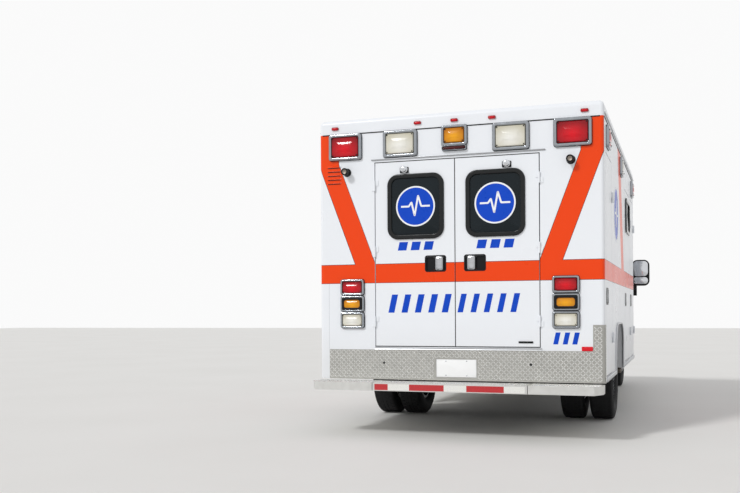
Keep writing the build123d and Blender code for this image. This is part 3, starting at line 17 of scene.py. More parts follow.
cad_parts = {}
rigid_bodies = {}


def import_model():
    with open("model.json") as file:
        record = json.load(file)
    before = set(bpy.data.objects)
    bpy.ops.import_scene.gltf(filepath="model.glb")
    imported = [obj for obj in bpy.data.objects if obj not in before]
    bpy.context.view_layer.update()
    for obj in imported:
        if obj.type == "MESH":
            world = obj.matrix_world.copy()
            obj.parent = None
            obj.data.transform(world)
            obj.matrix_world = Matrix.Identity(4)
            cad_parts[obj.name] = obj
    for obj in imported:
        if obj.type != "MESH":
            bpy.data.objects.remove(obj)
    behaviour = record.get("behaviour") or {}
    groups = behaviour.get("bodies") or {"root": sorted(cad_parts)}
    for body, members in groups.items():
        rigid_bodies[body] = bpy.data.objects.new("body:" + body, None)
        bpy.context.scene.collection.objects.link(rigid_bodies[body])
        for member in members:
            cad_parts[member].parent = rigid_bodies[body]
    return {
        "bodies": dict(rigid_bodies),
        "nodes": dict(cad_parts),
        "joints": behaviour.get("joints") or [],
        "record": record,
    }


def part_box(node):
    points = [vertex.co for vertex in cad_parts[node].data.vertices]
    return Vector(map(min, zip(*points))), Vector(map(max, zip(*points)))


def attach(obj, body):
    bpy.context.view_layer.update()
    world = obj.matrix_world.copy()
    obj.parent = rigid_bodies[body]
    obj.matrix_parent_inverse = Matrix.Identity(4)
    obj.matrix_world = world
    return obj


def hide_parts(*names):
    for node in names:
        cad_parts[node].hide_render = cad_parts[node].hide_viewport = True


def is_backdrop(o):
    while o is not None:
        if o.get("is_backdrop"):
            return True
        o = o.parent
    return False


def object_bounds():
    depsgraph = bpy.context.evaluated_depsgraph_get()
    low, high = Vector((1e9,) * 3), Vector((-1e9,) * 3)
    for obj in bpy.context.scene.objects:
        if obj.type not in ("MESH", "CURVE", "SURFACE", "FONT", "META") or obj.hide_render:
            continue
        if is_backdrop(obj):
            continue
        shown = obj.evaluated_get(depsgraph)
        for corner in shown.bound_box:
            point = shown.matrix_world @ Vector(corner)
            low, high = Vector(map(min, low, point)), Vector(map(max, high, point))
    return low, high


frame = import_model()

cad_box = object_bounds()
nodes = frame["nodes"]
roof_low, roof_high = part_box("module_roof")
X_FACE, X_FRONT = roof_low.x, roof_high.x
LENGTH, HALF = X_FRONT - X_FACE, roof_high.y
CAP_BOTTOM, ROOF_TOP = roof_low.z, roof_high.z
SIDES = (("left", 1), ("right", -1))
print("rear face at", round(X_FACE, 3), "half width", round(HALF, 3), "roof at", round(ROOF_TOP, 3))

# %% [markdown]
# ## Camera
# The photograph was taken from behind, a little to the right and at chest height. The place was solved from
# the body's corners, lamps and doors. The lens is raised in its mount, as a shift, so that uprights stay
# upright.

# %% Camera
BEHIND_FACE, RIGHT_OF_MIDDLE, EYE_HEIGHT = 7.434, 1.827, 1.043
TURNED_LEFT, TILTED_UP, ROLL = [math.radians(angle) for angle in (19.17, 0.086, 0.319)]
PICTURE_WIDTH, FOCAL_PIXELS, MIDDLE_BELOW_CENTRE = 740, 909.1, 64

bpy.ops.object.select_all(action="DESELECT")
bpy.ops.object.camera_add(location=(X_FACE - BEHIND_FACE, -RIGHT_OF_MIDDLE, EYE_HEIGHT))
camera = bpy.context.object
camera.name = "camera"
level = math.cos(TILTED_UP)
ahead = Vector((level * math.cos(TURNED_LEFT), level * math.sin(TURNED_LEFT), math.sin(TILTED_UP)))
camera.rotation_mode = "QUATERNION"
camera.rotation_quaternion = ahead.to_track_quat("-Z", "Y") @ Matrix.Rotation(-ROLL, 3, "Z").to_quaternion()
camera.data.sensor_width = 36
camera.data.lens = FOCAL_PIXELS * camera.data.sensor_width / PICTURE_WIDTH
camera.data.shift_y = MIDDLE_BELOW_CENTRE / PICTURE_WIDTH
bpy.context.scene.camera = camera
print("lens of", round(camera.data.lens, 1), "mm")

# %% [markdown]
# ## Hands and tools
# Modelling goes as it would by hand: deselect, add a primitive, go into edit mode, pick edges or faces by
# where they lie, and bevel, inset or extrude them. These few helpers keep that short. Flat things are drawn
# in a plane of their own, in which X runs to the right of someone who looks at the face, Y up and Z out of
# it.

# %% Tools for modelling
HERE = Matrix.Identity(4)


def only(piece=None):
    """Leave edit mode, and select one piece alone, or nothing."""
    if bpy.context.object and bpy.context.object.mode != "OBJECT":
        bpy.ops.object.mode_set(mode="OBJECT")
    bpy.ops.object.select_all(action="DESELECT")
    if piece:
        piece.select_set(True)
        bpy.context.view_layer.objects.active = piece


@contextmanager
def editing(piece):
    """Work on one piece in edit mode, with all of it selected."""
    only(piece)
    bpy.ops.object.mode_set(mode="EDIT")
    bpy.ops.mesh.select_mode(type="VERT")
    bpy.ops.mesh.select_all(action="SELECT")
    yield
    bpy.ops.object.mode_set(mode="OBJECT")


def pick(kind, test):
    """Select the edges or faces whose middle and direction pass a test."""
    bpy.ops.mesh.select_mode(type=kind)
    bpy.ops.mesh.select_all(action="DESELECT")
    form = bmesh.from_edit_mesh(bpy.context.object.data)
    if kind == "FACE":
        found = [f for f in form.faces if test(f.calc_center_median(), f.normal)]
    else:
        ends = [(e, e.verts[0].co, e.verts[1].co) for e in form.edges]
        found = [e for e, a, b in ends if test((a + b) / 2, (b - a).normalized())]
    for part in found:
        part.select_set(True)
    form.select_flush_mode()
    bmesh.update_edit_mesh(bpy.context.object.data)
    return len(found)


def pick_front(above=-1.0):
    """Select the faces that look out of the drawing plane, from a height on."""
    pick("FACE", lambda at, way: way.z > 0.9 and at.z > above)


def pull(way=(0, 0, 0)):
    """Extrude what is selected."""
    bpy.ops.mesh.extrude_region_move(TRANSFORM_OT_translate={"value": way})


def scale(value, about=(0, 0, 0)):
    """Scale what is selected about a point."""
    bpy.ops.transform.resize(value=value, center_override=about)


def close_up():
    """Merge doubles, and turn all faces outwards."""
    bpy.ops.mesh.select_all(action="SELECT")
    bpy.ops.mesh.remove_doubles(threshold=1e-5)
    bpy.ops.mesh.normals_make_consistent(inside=False)


def begin(add_primitive, **where):
    """Add a primitive at its size and place."""
    only()
    add_primitive(**where)
    bpy.ops.object.transform_apply(location=True, rotation=True, scale=True)
    return bpy.context.object


def put(piece, matrix):
    """Carry a piece from its drawing plane to its place, and leave the place in its mesh."""
    only(piece)
    piece.matrix_world = matrix
    bpy.ops.object.transform_apply(location=True, rotation=True, scale=True)
    return piece


def copied(piece, *offset):
    """A copy with its own mesh, moved along."""
    twin = piece.copy()
    twin.data = piece.data.copy()
    bpy.context.scene.collection.objects.link(twin)
    return put(twin, Matrix.Translation(offset))


def joined(parts):
    """Join several meshes into one."""
    only(parts[0])
    for part in parts[1:]:
        part.select_set(True)
    if len(parts) > 1:
        bpy.ops.object.join()
    return parts[0]


def finished(name, parts, material, plane=HERE, body="chassis", smooth=35, stands_for=None):
    """Join parts and carry them to their face, with their finish, body and the node they stand for."""
    piece = put(joined(parts), plane)
    piece.name = name
    if smooth:
        bpy.ops.object.shade_smooth_by_angle(angle=math.radians(smooth))
    piece.data.materials.clear()
    piece.data.materials.append(material)
    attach(piece, body)
    if stands_for:
        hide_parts(stands_for)
    return piece


def face_plane(origin, across, out):
    """The drawing plane of a flat face."""
    x, z = Vector(across), Vector(out)
    return Matrix.Translation(origin) @ Matrix((x, z.cross(x), z)).transposed().to_4x4()


# Where a face looks: its way across and its way out
LOOKS = {
    "back": ((0, -1, 0), (-1, 0, 0)), "ahead": ((0, 1, 0), (1, 0, 0)),
    "right": ((1, 0, 0), (0, -1, 0)), "left": ((-1, 0, 0), (0, 1, 0)),
    "up": ((0, -1, 0), (0, 0, 1)), "down": ((1, 0, 0), (0, 0, -1)),
}


def facing(look, x=X_FACE, y=0, z=0):
    """The plane of a face that looks along an axis."""
    return face_plane((x, y, z), *LOOKS[look])


REAR, FRONT = facing("back"), facing("ahead", X_FRONT)
RIGHT, LEFT = facing("right", y=-HALF), facing("left", y=HALF)
print("drawing planes:", ", ".join(LOOKS))

# %% [markdown]
# Most trim is one of four forms. A slab is a cube with rounded corners and a softened rim. A hoop is a
# rounded rectangle with its middle taken out, raised and softened. A lathe form is a line drawn by
# extruding a vertex and then spun. A rod is a line turned into a curve with a round section, which is then
# made a mesh.

# %% Slabs, hoops, lathe forms and rods
def slab(middle, size, corner=0.0, rim=0.0, steps=3):
    """A block on a face: its back lies at middle's depth, and it stands out by the third size."""
    x, y, back = (*middle, 0.0)[:3]
    top = back + size[2]
    piece = begin(bpy.ops.mesh.primitive_cube_add, size=1, scale=size, location=(x, y, back + size[2] / 2))
    with editing(piece):
        if corner:
            pick("EDGE", lambda at, way: abs(way.z) > 0.99)
            bpy.ops.mesh.bevel(offset=corner, segments=steps + 1, affect="EDGES")
        if rim:
            pick("EDGE", lambda at, way: abs(way.z) < 0.1 and at.z > top - 1e-5)
            bpy.ops.mesh.bevel(offset=rim, segments=steps, affect="EDGES")
    return piece


def hoop(middle, size, corner, width, rim=0.0, steps=3, inner_corner=None):
    """A frame between two rounded outlines, of one width all round: two planes, bridged and raised."""
    middle = (*middle, 0.0)[:3]
    top = middle[2] + size[2]
    if inner_corner is None:
        inner_corner = max(corner - width, 0.002)
    piece = begin(bpy.ops.mesh.primitive_plane_add, size=1, location=middle)
    with editing(piece):
        for inwards, rounding in ((0, corner), (width, inner_corner)):
            if inwards:
                bpy.ops.mesh.primitive_plane_add(size=1, location=middle)
            scale((size[0] - 2 * inwards, size[1] - 2 * inwards, 1), middle)
            bpy.ops.mesh.bevel(offset=rounding, segments=steps + 3, affect="VERTICES")
        bpy.ops.mesh.select_all(action="SELECT")
        bpy.ops.mesh.delete(type="ONLY_FACE")
        bpy.ops.mesh.select_all(action="SELECT")
        bpy.ops.mesh.bridge_edge_loops()
        bpy.ops.mesh.select_all(action="SELECT")
        pull((0, 0, size[2]))
        close_up()
        if rim:
            pick("EDGE", lambda at, way: at.z > top - 1e-5)
            form = bmesh.from_edit_mesh(piece.data)
            for edge in form.edges:
                flat = all(abs(f.normal.z) > 0.9 for f in edge.link_faces)
                edge.select_set(edge.select and not flat)
            bmesh.update_edit_mesh(piece.data)
            bpy.ops.mesh.bevel(offset=rim, segments=steps, affect="EDGES", loop_slide=False)
    return piece


def drawn(points):
    """A line through points, made by extruding one vertex from each to the next."""
    points = [Vector(p) for p in points]
    piece = begin(bpy.ops.mesh.primitive_plane_add, size=0.001, location=points[0])
    with editing(piece):
        bpy.ops.mesh.merge(type="CENTER")
        for here, there in zip(points, points[1:]):
            pull(there - here)
    return piece


def lathe(profile, centre, steps, out=(0, 0, 1)):
    """Spin a profile of radius and height right round the axis that stands on centre."""
    foot, axis = Vector(centre), Vector(out)
    piece = drawn([foot + Vector((radius, 0, 0)) + axis * height for radius, height in profile])
    with editing(piece):
        bpy.ops.mesh.spin(steps=steps, angle=2 * math.pi, center=foot, axis=axis)
        close_up()
    return piece


def rod(points, radius, bend=0.0, sides=3):
    """A round bar through points, its corners rounded."""
    piece = drawn(points)
    if bend:
        with editing(piece):
            form = bmesh.from_edit_mesh(piece.data)
            for vertex in form.verts:
                vertex.select_set(len(vertex.link_edges) == 2)
            bmesh.update_edit_mesh(piece.data)
            bpy.ops.mesh.bevel(offset=bend, segments=5, affect="VERTICES")
    only(piece)
    bpy.ops.object.convert(target="CURVE")
    piece.data.bevel_depth = radius
    piece.data.bevel_resolution = sides
    piece.data.use_fill_caps = True
    bpy.ops.object.convert(target="MESH")
    return piece


print("four forms ready: slab, hoop, lathe and rod")

# %% [markdown]
# ## Studio
# A pale floor and a white surround, a low-powered sun with a soft edge from over the viewer's left
# shoulder, and an even sky. What the camera, mirrors and glass see of the surround is lighter than what it
# sheds, through the kind of ray, so that the background is pale while paint keeps the colour that it is
# given. One helper adds a node, one starts a material, and one leads its patterns to the shader as colour,
# gloss and relief.

# %% Node helpers, floor and light
def linear(colour, times=1.0, plus=0.0):
    """The linear values of a colour written as an sRGB hex number, made darker or lighter where asked."""
    parts = [int(colour[i:i + 2], 16) / 255 for i in (1, 3, 5)]
    parts = [c / 12.92 if c <= 0.04045 else ((c + 0.055) / 1.055) ** 2.4 for c in parts]
    return [min(1, c * times + plus) for c in parts] + [1]


def add(tree, kind, sockets=None, **settings):
    """Add a node with its settings, and set or link its sockets. A node as a value gives its first output."""
    node = tree.nodes.new(kind)
    for name, value in settings.items():
        setattr(node, name, value)
    for name, value in (sockets or {}).items():
        if isinstance(value, bpy.types.Node):
            value = value.outputs[0]
        if isinstance(value, bpy.types.NodeSocket):
            tree.links.new(value, node.inputs[name])
        else:
            node.inputs[name].default_value = value
    return node


def started(name, **sockets):
    """A new material, its nodes, the object's coordinates and its shader with plain settings."""
    material = bpy.data.materials.new(name)
    material.use_nodes = True
    tree = material.node_tree
    tree.nodes.clear()
    place = add(tree, "ShaderNodeTexCoord").outputs["Object"]
    shader = add(tree, "ShaderNodeBsdfPrincipled", {k.replace("_", " "): v for k, v in sockets.items()})
    add(tree, "ShaderNodeOutputMaterial", {"Surface": shader})
    return material, tree, place, shader


def surfaced(tree, shader, tones, gloss=None, relief=None):
    """Lead patterns to the shader: two tones by a share, a gloss within limits, and a relief."""
    share, one, other = tones
    tone = add(tree, "ShaderNodeMix", {0: share, 6: one, 7: other}, data_type="RGBA")
    tree.links.new(tone.outputs[2], shader.inputs["Base Color"])
    if gloss:
        patch, least, most = gloss
        limits = add(tree, "ShaderNodeMapRange", {0: patch, 1: 0.3, 2: 0.7, 3: least, 4: most})
        tree.links.new(limits.outputs[0], shader.inputs["Roughness"])
    if relief:
        height, strength, depth = relief
        bump = add(tree, "ShaderNodeBump", {"Height": height, "Strength": strength, "Distance": depth})
        tree.links.new(bump.outputs[0], shader.inputs["Normal"])


floor = begin(bpy.ops.mesh.primitive_plane_add, size=90)
floor.name = "studio_floor"
with editing(floor):
    bpy.ops.mesh.subdivide(number_cuts=6)
concrete, tree, place, shader = started("pale_studio_floor", Roughness=0.75)
grain = add(tree, "ShaderNodeTexNoise", {"Vector": place, "Scale": 0.6, "Detail": 6})
surfaced(tree, shader, (grain, linear("#E6E5E1"), linear("#EEEDEA")))
floor.data.materials.append(concrete)
floor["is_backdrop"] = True

SHED, SHOWN = 0.56, 0.96
world = bpy.data.worlds.new("studio_surround")
bpy.context.scene.world = world
world.use_nodes = True
tree = world.node_tree
tree.nodes.clear()
ray = add(tree, "ShaderNodeLightPath")
seen = ray.outputs["Is Camera Ray"]
for kind in ("Is Glossy Ray", "Is Transmission Ray"):
    seen = add(tree, "ShaderNodeMath", {0: seen, 1: ray.outputs[kind]}, operation="MAXIMUM")
greys = {6: (SHED, SHED, SHED * 1.02, 1), 7: (SHOWN, SHOWN, SHOWN, 1)}
surround = add(tree, "ShaderNodeMix", {0: seen, **greys}, data_type="RGBA")
light = add(tree, "ShaderNodeBackground", {"Color": surround.outputs[2], "Strength": 1.0})
add(tree, "ShaderNodeOutputWorld", {"Surface": light})

KEY_FROM, KEY_STRENGTH, KEY_WIDTH = Vector((-7.5, 4.0, 6.5)), 1.45, 9
only()
bpy.ops.object.light_add(type="SUN", location=KEY_FROM)
key = bpy.context.object
key.name = "key_light"
key.rotation_mode = "QUATERNION"
key.rotation_quaternion = (-KEY_FROM).to_track_quat("-Z", "Y")
key.data.energy = KEY_STRENGTH
key.data.angle = math.radians(KEY_WIDTH)
bpy.context.scene.view_settings.view_transform = "Standard"
print("floor, surround and key light are in place")

# %% [markdown]
# ## Paint
# The body is aluminium sheet sprayed with two-pack polyurethane: a hard white with a clear gloss, a faint
# ripple like an orange's peel, and road dust that fades upwards from the sills. The orange and its thin
# dark outline are cut vinyl under the same gloss. They are drawn as distances from a line, in metres, so
# the edges stay sharp at any size. A table of sums gives each distance: what the sum is called, what it
# does, and what it works on.

# %% Polyurethane paint and its stripes
WHITE, ORANGE, OUTLINE, DUST = "#F0F3F7", "#F24400", "#3A2420", "#B9B2A6"
BAND_MIDDLE, BAND_HALF, LINE = 1.3735, 0.0795, 0.004


def band(middle, half):
    """Sums for the distance outside a level band."""
    return (
        ("away", "SUBTRACT", "z", middle), ("away", "ABSOLUTE", "away"),
        ("away", "SUBTRACT", "away", half),
    )


def slant(across, start, rise, half, head):
    """Sums for the distance outside a stripe that stands on the band, at start, and moves by rise a metre."""
    return (
        ("middle", "SUBTRACT", "z", BAND_MIDDLE + BAND_HALF),
        ("middle", "MULTIPLY_ADD", "middle", rise, start),
        ("slant", "SUBTRACT", across, "middle"), ("slant", "ABSOLUTE", "slant"),
        ("slant", "SUBTRACT", "slant", half), ("slant", "MULTIPLY", "slant", 1 / math.hypot(1, rise)),
        ("above", "SUBTRACT", "z", head), ("below", "SUBTRACT", BAND_MIDDLE, "z"),
        ("slant", "MAXIMUM", "slant", "above"), ("slant", "MAXIMUM", "slant", "below"),
    )


def seen_from(*backwards, least=None):
    """Sums that keep stripes to faces that look out, and to a least distance from the middle."""
    hidden = (("hidden", "SUBTRACT", least, "side"), ("away", "MAXIMUM", "away", "hidden")) if least else ()
    return (
        ("look", "SIGN", "y"), ("out", "MULTIPLY", "way_y", "look"), *backwards,
        ("inward", "SUBTRACT", 0.3, "out"), ("away", "MAXIMUM", "away", "inward"), *hidden,
    )


BOTH = (*band(BAND_MIDDLE, BAND_HALF), ("away", "MINIMUM", "slant", "away"))
# Two slanted stripes, the columns beside the top lamps, and none of them behind the face
REAR_STRIPES = (
    *slant("side", 0.797, 0.379, 0.091, 2.335),
    ("inner", "SUBTRACT", 1.040, "side"), ("foot", "SUBTRACT", 2.330, "z"),
    ("column", "MAXIMUM", "inner", "foot"), ("slant", "MINIMUM", "slant", "column"),
    ("off", "SUBTRACT", "x", X_FACE + 0.019), ("slant", "MAXIMUM", "slant", "off"), *BOTH,
)
SIDE_STRIPES = (("ahead", "SUBTRACT", "x", X_FACE), *slant("ahead", 2.16, -0.40, 0.19, CAP_BOTTOM), *BOTH)
# Of the rear's side faces only the wall's own count, and not the edges of the doors
BACKWARDS = (
    ("aside", "GREATER_THAN", "side", HALF - 0.03), ("out", "MULTIPLY", "out", "aside"),
    ("back", "MULTIPLY", "way_x", -1.0), ("out", "MAXIMUM", "out", "back"),
)


def painted(name, sums=()):
    """Polyurethane paint, with stripes where the sums come to a distance under nothing."""
    gloss = {"Roughness": 0.3, "Coat_Weight": 0.1, "Coat_Roughness": 0.06, "Specular_IOR_Level": 0.22}
    material, tree, place, shader = started(name, **gloss)
    axes = add(tree, "ShaderNodeSeparateXYZ", {0: place})
    cloud = add(tree, "ShaderNodeTexNoise", {"Vector": place, "Scale": 3.0, "Detail": 5})
    low = add(tree, "ShaderNodeMapRange", {0: axes.outputs[2], 1: 0.95, 2: 0.45, 3: 0.0, 4: 0.34})
    share = add(tree, "ShaderNodeMath", {0: low, 1: cloud}, operation="MULTIPLY")
    colour, over = linear(WHITE), linear(DUST)
    if sums:
        way = add(tree, "ShaderNodeSeparateXYZ", {0: add(tree, "ShaderNodeTexCoord").outputs["Normal"]})
        worked = dict(zip(("x", "y", "z", "way_x", "way_y"), [*axes.outputs, *way.outputs]))
        for result, operation, *terms in (("side", "ABSOLUTE", "y"), *sums):
            sockets = {i: worked.get(term, term) for i, term in enumerate(terms)}
            worked[result] = add(tree, "ShaderNodeMath", sockets, operation=operation)
        for limit, tone in ((LINE, OUTLINE), (0.0, ORANGE)):
            mixed = add(tree, "ShaderNodeMix", {0: share, 6: colour, 7: over}, data_type="RGBA")
            share = add(tree, "ShaderNodeMath", {0: worked["away"], 1: limit}, operation="LESS_THAN")
            colour, over = mixed.outputs[2], linear(tone)
    peel = add(tree, "ShaderNodeTexNoise", {"Vector": place, "Scale": 70, "Detail": 2})
    surfaced(tree, shader, (share, colour, over), (cloud, 0.27, 0.33), (peel, 0.04, 0.002))
    return material


rear_paint = painted("polyurethane_paint_rear", REAR_STRIPES + seen_from(*BACKWARDS))
side_paint = painted("polyurethane_paint_side", SIDE_STRIPES + seen_from(least=HALF - 0.004))
cab_paint = painted("polyurethane_paint_cab", band(1.165, 0.062) + seen_from(least=0.85))
plain_paint = painted("polyurethane_paint_white")
print("four paints made")

# %% [markdown]
# ## Metals
# Chrome is a mirror over nickel. Tread plate is rolled aluminium, dulled by shoes. Extrusions are anodised
# aluminium with fine lines from the brush. Castings and the frame are sprayed black over a coarse skin, and
# the exhaust is aluminised steel that has gone brown near the joints.

# %% Metals
def metal(name, colour, roughness, spread, grain_size, bump=0.0, stretch=(1, 1, 1)):
    """A metal whose gloss varies over patches of a real size, drawn out along one way where it is brushed."""
    material, tree, place, shader = started(name, Metallic=1.0, Roughness=roughness)
    turned = add(tree, "ShaderNodeMapping", {"Vector": place, "Scale": stretch})
    cloud = add(tree, "ShaderNodeTexNoise", {"Vector": turned, "Scale": 1 / grain_size, "Detail": 4})
    gloss = (cloud, roughness - spread, roughness + spread)
    surfaced(tree, shader, (cloud, linear(colour, 0.8), linear(colour)), gloss, bump and (cloud, 0.5, bump))
    return material


chrome = metal("chromium_plate", "#D9DBDF", 0.10, 0.04, 0.08)
ring_chrome = metal("weathered_lamp_chrome", "#A3A7AC", 0.15, 0.05, 0.05)
bumper_chrome = metal("dulled_bumper_chrome", "#B4B7BB", 0.16, 0.05, 0.06)
wheel_steel = metal("polished_wheel_liner", "#D3D4D6", 0.20, 0.06, 0.05)
tread_aluminium = metal("rolled_tread_plate", "#B2B1AC", 0.42, 0.08, 0.05, 0.0002)
tread_tops = metal("worn_tread_bars", "#EDEDEB", 0.24, 0.08, 0.03)
step_aluminium = metal("bright_tread_plate", "#DEDEDB", 0.38, 0.08, 0.05, 0.0002)
anodised = metal("brushed_anodised_aluminium", "#BFC1C4", 0.34, 0.06, 0.006, 0.0001, (0.05, 0.05, 1))
aluminised = metal("aluminised_steel", "#8C837A", 0.45, 0.10, 0.06, 0.0006)


def sprayed(name, colour, roughness, grit):
    """Black paint over a cast or rolled skin, with dust in its hollows."""
    material, tree, place, shader = started(name, Roughness=roughness)
    cloud = add(tree, "ShaderNodeTexNoise", {"Vector": place, "Scale": 6.0, "Detail": 6})
    dusty = add(tree, "ShaderNodeMapRange", {0: cloud, 1: 0.45, 2: 0.8, 3: 0.0, 4: 0.5})
    skin = add(tree, "ShaderNodeTexNoise", {"Vector": place, "Scale": 1 / grit, "Detail": 3})
    surfaced(tree, shader, (dusty, linear(colour), linear("#6B6258")), None, (skin, 0.5, grit / 6))
    return material


frame_paint = sprayed("chassis_black_paint", "#17181A", 0.5, 0.004)
casting = sprayed("cast_iron_painted", "#2A2826", 0.65, 0.007)
print("eleven metals made")

# %% [markdown]
# ## Rubber, plastic, glass and lenses
# Lenses are moulded acrylic or polycarbonate, ribbed on the inside about every 6 mm, so light runs in bands
# over them, and a painted glow lightens each one low in its middle and lets it darken to its edges, for the
# light off the reflector behind. The privacy glass is nearly black. Rubber and grained plastic have a fine
# moulded skin, and reflective tape is glass beads under a clear film, seen as cells of about 4 mm.

# %% Plastics, rubber, lenses, glass and tape
def moulded(name, colour, roughness, grain, depth, coat=0.0):
    """A moulded plastic or rubber with its grained skin."""
    skin_gloss = {"Coat_Weight": coat, "Coat_Roughness": 0.1, "Specular_IOR_Level": 0.2}
    material, tree, place, shader = started(name, Roughness=roughness, **skin_gloss)
    patch = add(tree, "ShaderNodeTexNoise", {"Vector": place, "Scale": 9.0, "Detail": 4})
    skin = add(tree, "ShaderNodeTexVoronoi", {"Vector": place, "Scale": 1 / grain})
    tones = (patch, linear(colour), linear(colour, 1.25, 0.004))
    surfaced(tree, shader, tones, (patch, roughness - 0.06, roughness + 0.06), (skin, 0.35, depth))
    return material


rubber = moulded("epdm_rubber", "#17181A", 0.55, 0.003, 0.0003)
tyre_rubber = moulded("tyre_tread_rubber", "#1E1E1F", 0.72, 0.004, 0.0004)
black_plastic = moulded("black_abs", "#0E0F11", 0.34, 0.002, 0.0002)
window_enamel = moulded("black_window_enamel", "#0C0E0F", 0.20, 0.003, 0.00005, 0.25)
dash_plastic = moulded("grained_dash_plastic", "#35373A", 0.6, 0.003, 0.0004)
laminate = moulded("cabinet_laminate", "#D9D7CE", 0.4, 0.004, 0.00008)
floor_vinyl = moulded("flecked_floor_vinyl", "#6E757C", 0.45, 0.004, 0.0001)
blank_white = moulded("white_enamelled_sheet", "#F4F5F4", 0.35, 0.005, 0.00005, 0.3)
blue_vinyl = moulded("blue_cut_vinyl", "#0042BA", 0.3, 0.004, 0.00004)
white_vinyl = moulded("white_cut_vinyl", "#F1F3F6", 0.3, 0.004, 0.00004)
cushion_vinyl = moulded("navy_cushion_vinyl", "#1D3A70", 0.5, 0.0024, 0.00012)
seat_vinyl = moulded("grey_seat_vinyl", "#4A4F55", 0.48, 0.0024, 0.00012)
sealant = moulded("grey_seam_sealant", "#A9ADB2", 0.5, 0.004, 0.00005)

RIB = 0.006
# A wave of scale 1 repeats every 314 mm
WAVE_LENGTH = 0.314


def lens(name, colour, deep):
    """A moulded lens: fine ribs both ways, and a painted glow: lighter low in the middle and darker to the
    edges, for the light off its reflector.
    """
    gloss = {"Coat_Weight": 0.2, "Coat_Roughness": 0.04, "Specular_IOR_Level": 0.25}
    material, tree, place, shader = started(name, Roughness=0.16, **gloss)
    ribs = {"Vector": place, "Scale": WAVE_LENGTH / RIB / 2}
    ribs = [add(tree, "ShaderNodeTexWave", ribs, bands_direction=way) for way in ("Y", "Z")]
    both = add(tree, "ShaderNodeMath", {0: ribs[0], 1: ribs[1]}, operation="MULTIPLY")
    # Painted light: the colour is lightest low in the middle of the lens and darkens towards its edges
    spot = add(tree, "ShaderNodeAttribute", attribute_name="lens_place")
    spot = add(tree, "ShaderNodeVectorMath", {0: spot.outputs["Vector"], 1: (0, 0.25, 0)}, operation="ADD")
    away = add(tree, "ShaderNodeVectorMath", {0: spot}, operation="LENGTH").outputs["Value"]
    painted_glow = add(tree, "ShaderNodeMapRange", {0: away, 1: 0.15, 2: 1.25, 3: 0.85, 4: 0.0})
    mix = add(tree, "ShaderNodeMath", {0: both, 1: 0.15, 2: painted_glow}, operation="MULTIPLY_ADD")
    surfaced(tree, shader, (mix, linear(deep), linear(colour)), None, (both, 0.25, 0.0008))
    return material


red_lens = lens("red_acrylic_lens", "#EA0A20", "#86000E")
amber_lens = lens("amber_acrylic_lens", "#FFB21A", "#B86A00")
clear_lens = lens("clear_acrylic_lens", "#FBFAF4", "#C9C4B0")
dark_red_lens = lens("dark_red_acrylic_lens", "#5A0A14", "#2A0408")


def tinted(name, colour, alpha):
    """Window glass with a tint: a hard clear surface, and a film of dust that changes its gloss."""
    gloss = {"IOR": 1.52, "Alpha": alpha, "Specular_IOR_Level": 0.22}
    material, tree, place, shader = started(name, Roughness=0.04, **gloss)
    cloud = add(tree, "ShaderNodeTexNoise", {"Vector": place, "Scale": 5.0, "Detail": 3})
    surfaced(tree, shader, (cloud, linear(colour), linear(colour, 1.5, 0.002)), (cloud, 0.02, 0.07))
    return material


privacy_glass = tinted("privacy_glass", "#0C161B", 0.94)
cab_glass = tinted("tinted_cab_glass", "#1A2629", 0.62)
cover_glass = tinted("headlamp_cover_glass", "#C9D2D6", 0.12)
shelf_glass = tinted("clear_polycarbonate", "#B9C6CC", 0.16)


def tape(name, colour, deep):
    """Reflective tape, its beads walled in cells."""
    material, tree, place, shader = started(name, Roughness=0.35, Coat_Weight=0.6, Coat_Roughness=0.1)
    cells = {"Vector": place, "Scale": 1 / 0.004}
    cells = add(tree, "ShaderNodeTexVoronoi", cells, feature="DISTANCE_TO_EDGE")
    edge = add(tree, "ShaderNodeMapRange", {0: cells, 1: 0.02, 2: 0.12, 3: 1.0, 4: 0.0})
    surfaced(tree, shader, (edge, linear(colour), linear(deep)))
    return material


red_tape = tape("red_reflective_tape", "#C8101C", "#A00812")
white_tape = tape("white_reflective_tape", "#EFEFEA", "#D8D8D2")
print("plastics, lenses, glass and tape made")

# %% [markdown]
# ## Finish of the fixed frame
# Every solid of the frame gets its finish by assigning to its material slots; its mesh is left as it came.
# A table of finish against the beginnings of the nodes' names keeps this in one place.

# %% Finish the frame
FINISHES = (
    (rear_paint, "module_rear rear_door"),
    (side_paint, "module_left module_right side_door locker_door"),
    (plain_paint, "module_roof module_front"),
    (cab_paint, "cab_shell hood cab_door"),
    (chrome, "grille lamp_bezels"),
    (bumper_chrome, "front_bumper"),
    (clear_lens, "headlamps clear_lenses"),
    (red_lens, "red_lenses"),
    (amber_lens, "amber_lenses"),
    (privacy_glass, "rear_window side_window"),
    (cab_glass, "windshield cab_window"),
    (tread_aluminium, "diamond_plates"),
    (step_aluminium, "rear_step flip_step"),
    (black_plastic, "mirror steering_wheel"),
    (dash_plastic, "dashboard cab_seats patient_seats"),
    (floor_vinyl, "module_floor"),
    (laminate, "cabinets"),
    (frame_paint, "chassis_frame fuel_tank"),
    (casting, "front_axle rear_axle powertrain knuckle"),
    (aluminised, "exhaust"),
    (wheel_steel, "front_rim rear_rims"),
    (tyre_rubber, "front_tyre rear_tyres"),
)
given = 0
for material, beginnings in FINISHES:
    for name in nodes:
        if name.startswith(tuple(beginnings.split())):
            data = nodes[name].data
            for i in range(len(data.materials)):
                data.materials[i] = material
            if not data.materials:
                data.materials.append(material)
            given += 1
print("finished", given, "nodes of", len(nodes))

# %% [markdown]
# ## Places on the faces
# The door outlines, windows and lamps are read from the frame, so that trim follows the solids. A node that
# holds several lamps is copied, its doubles are merged, and it is split into loose parts, whose boxes give
# each lamp.

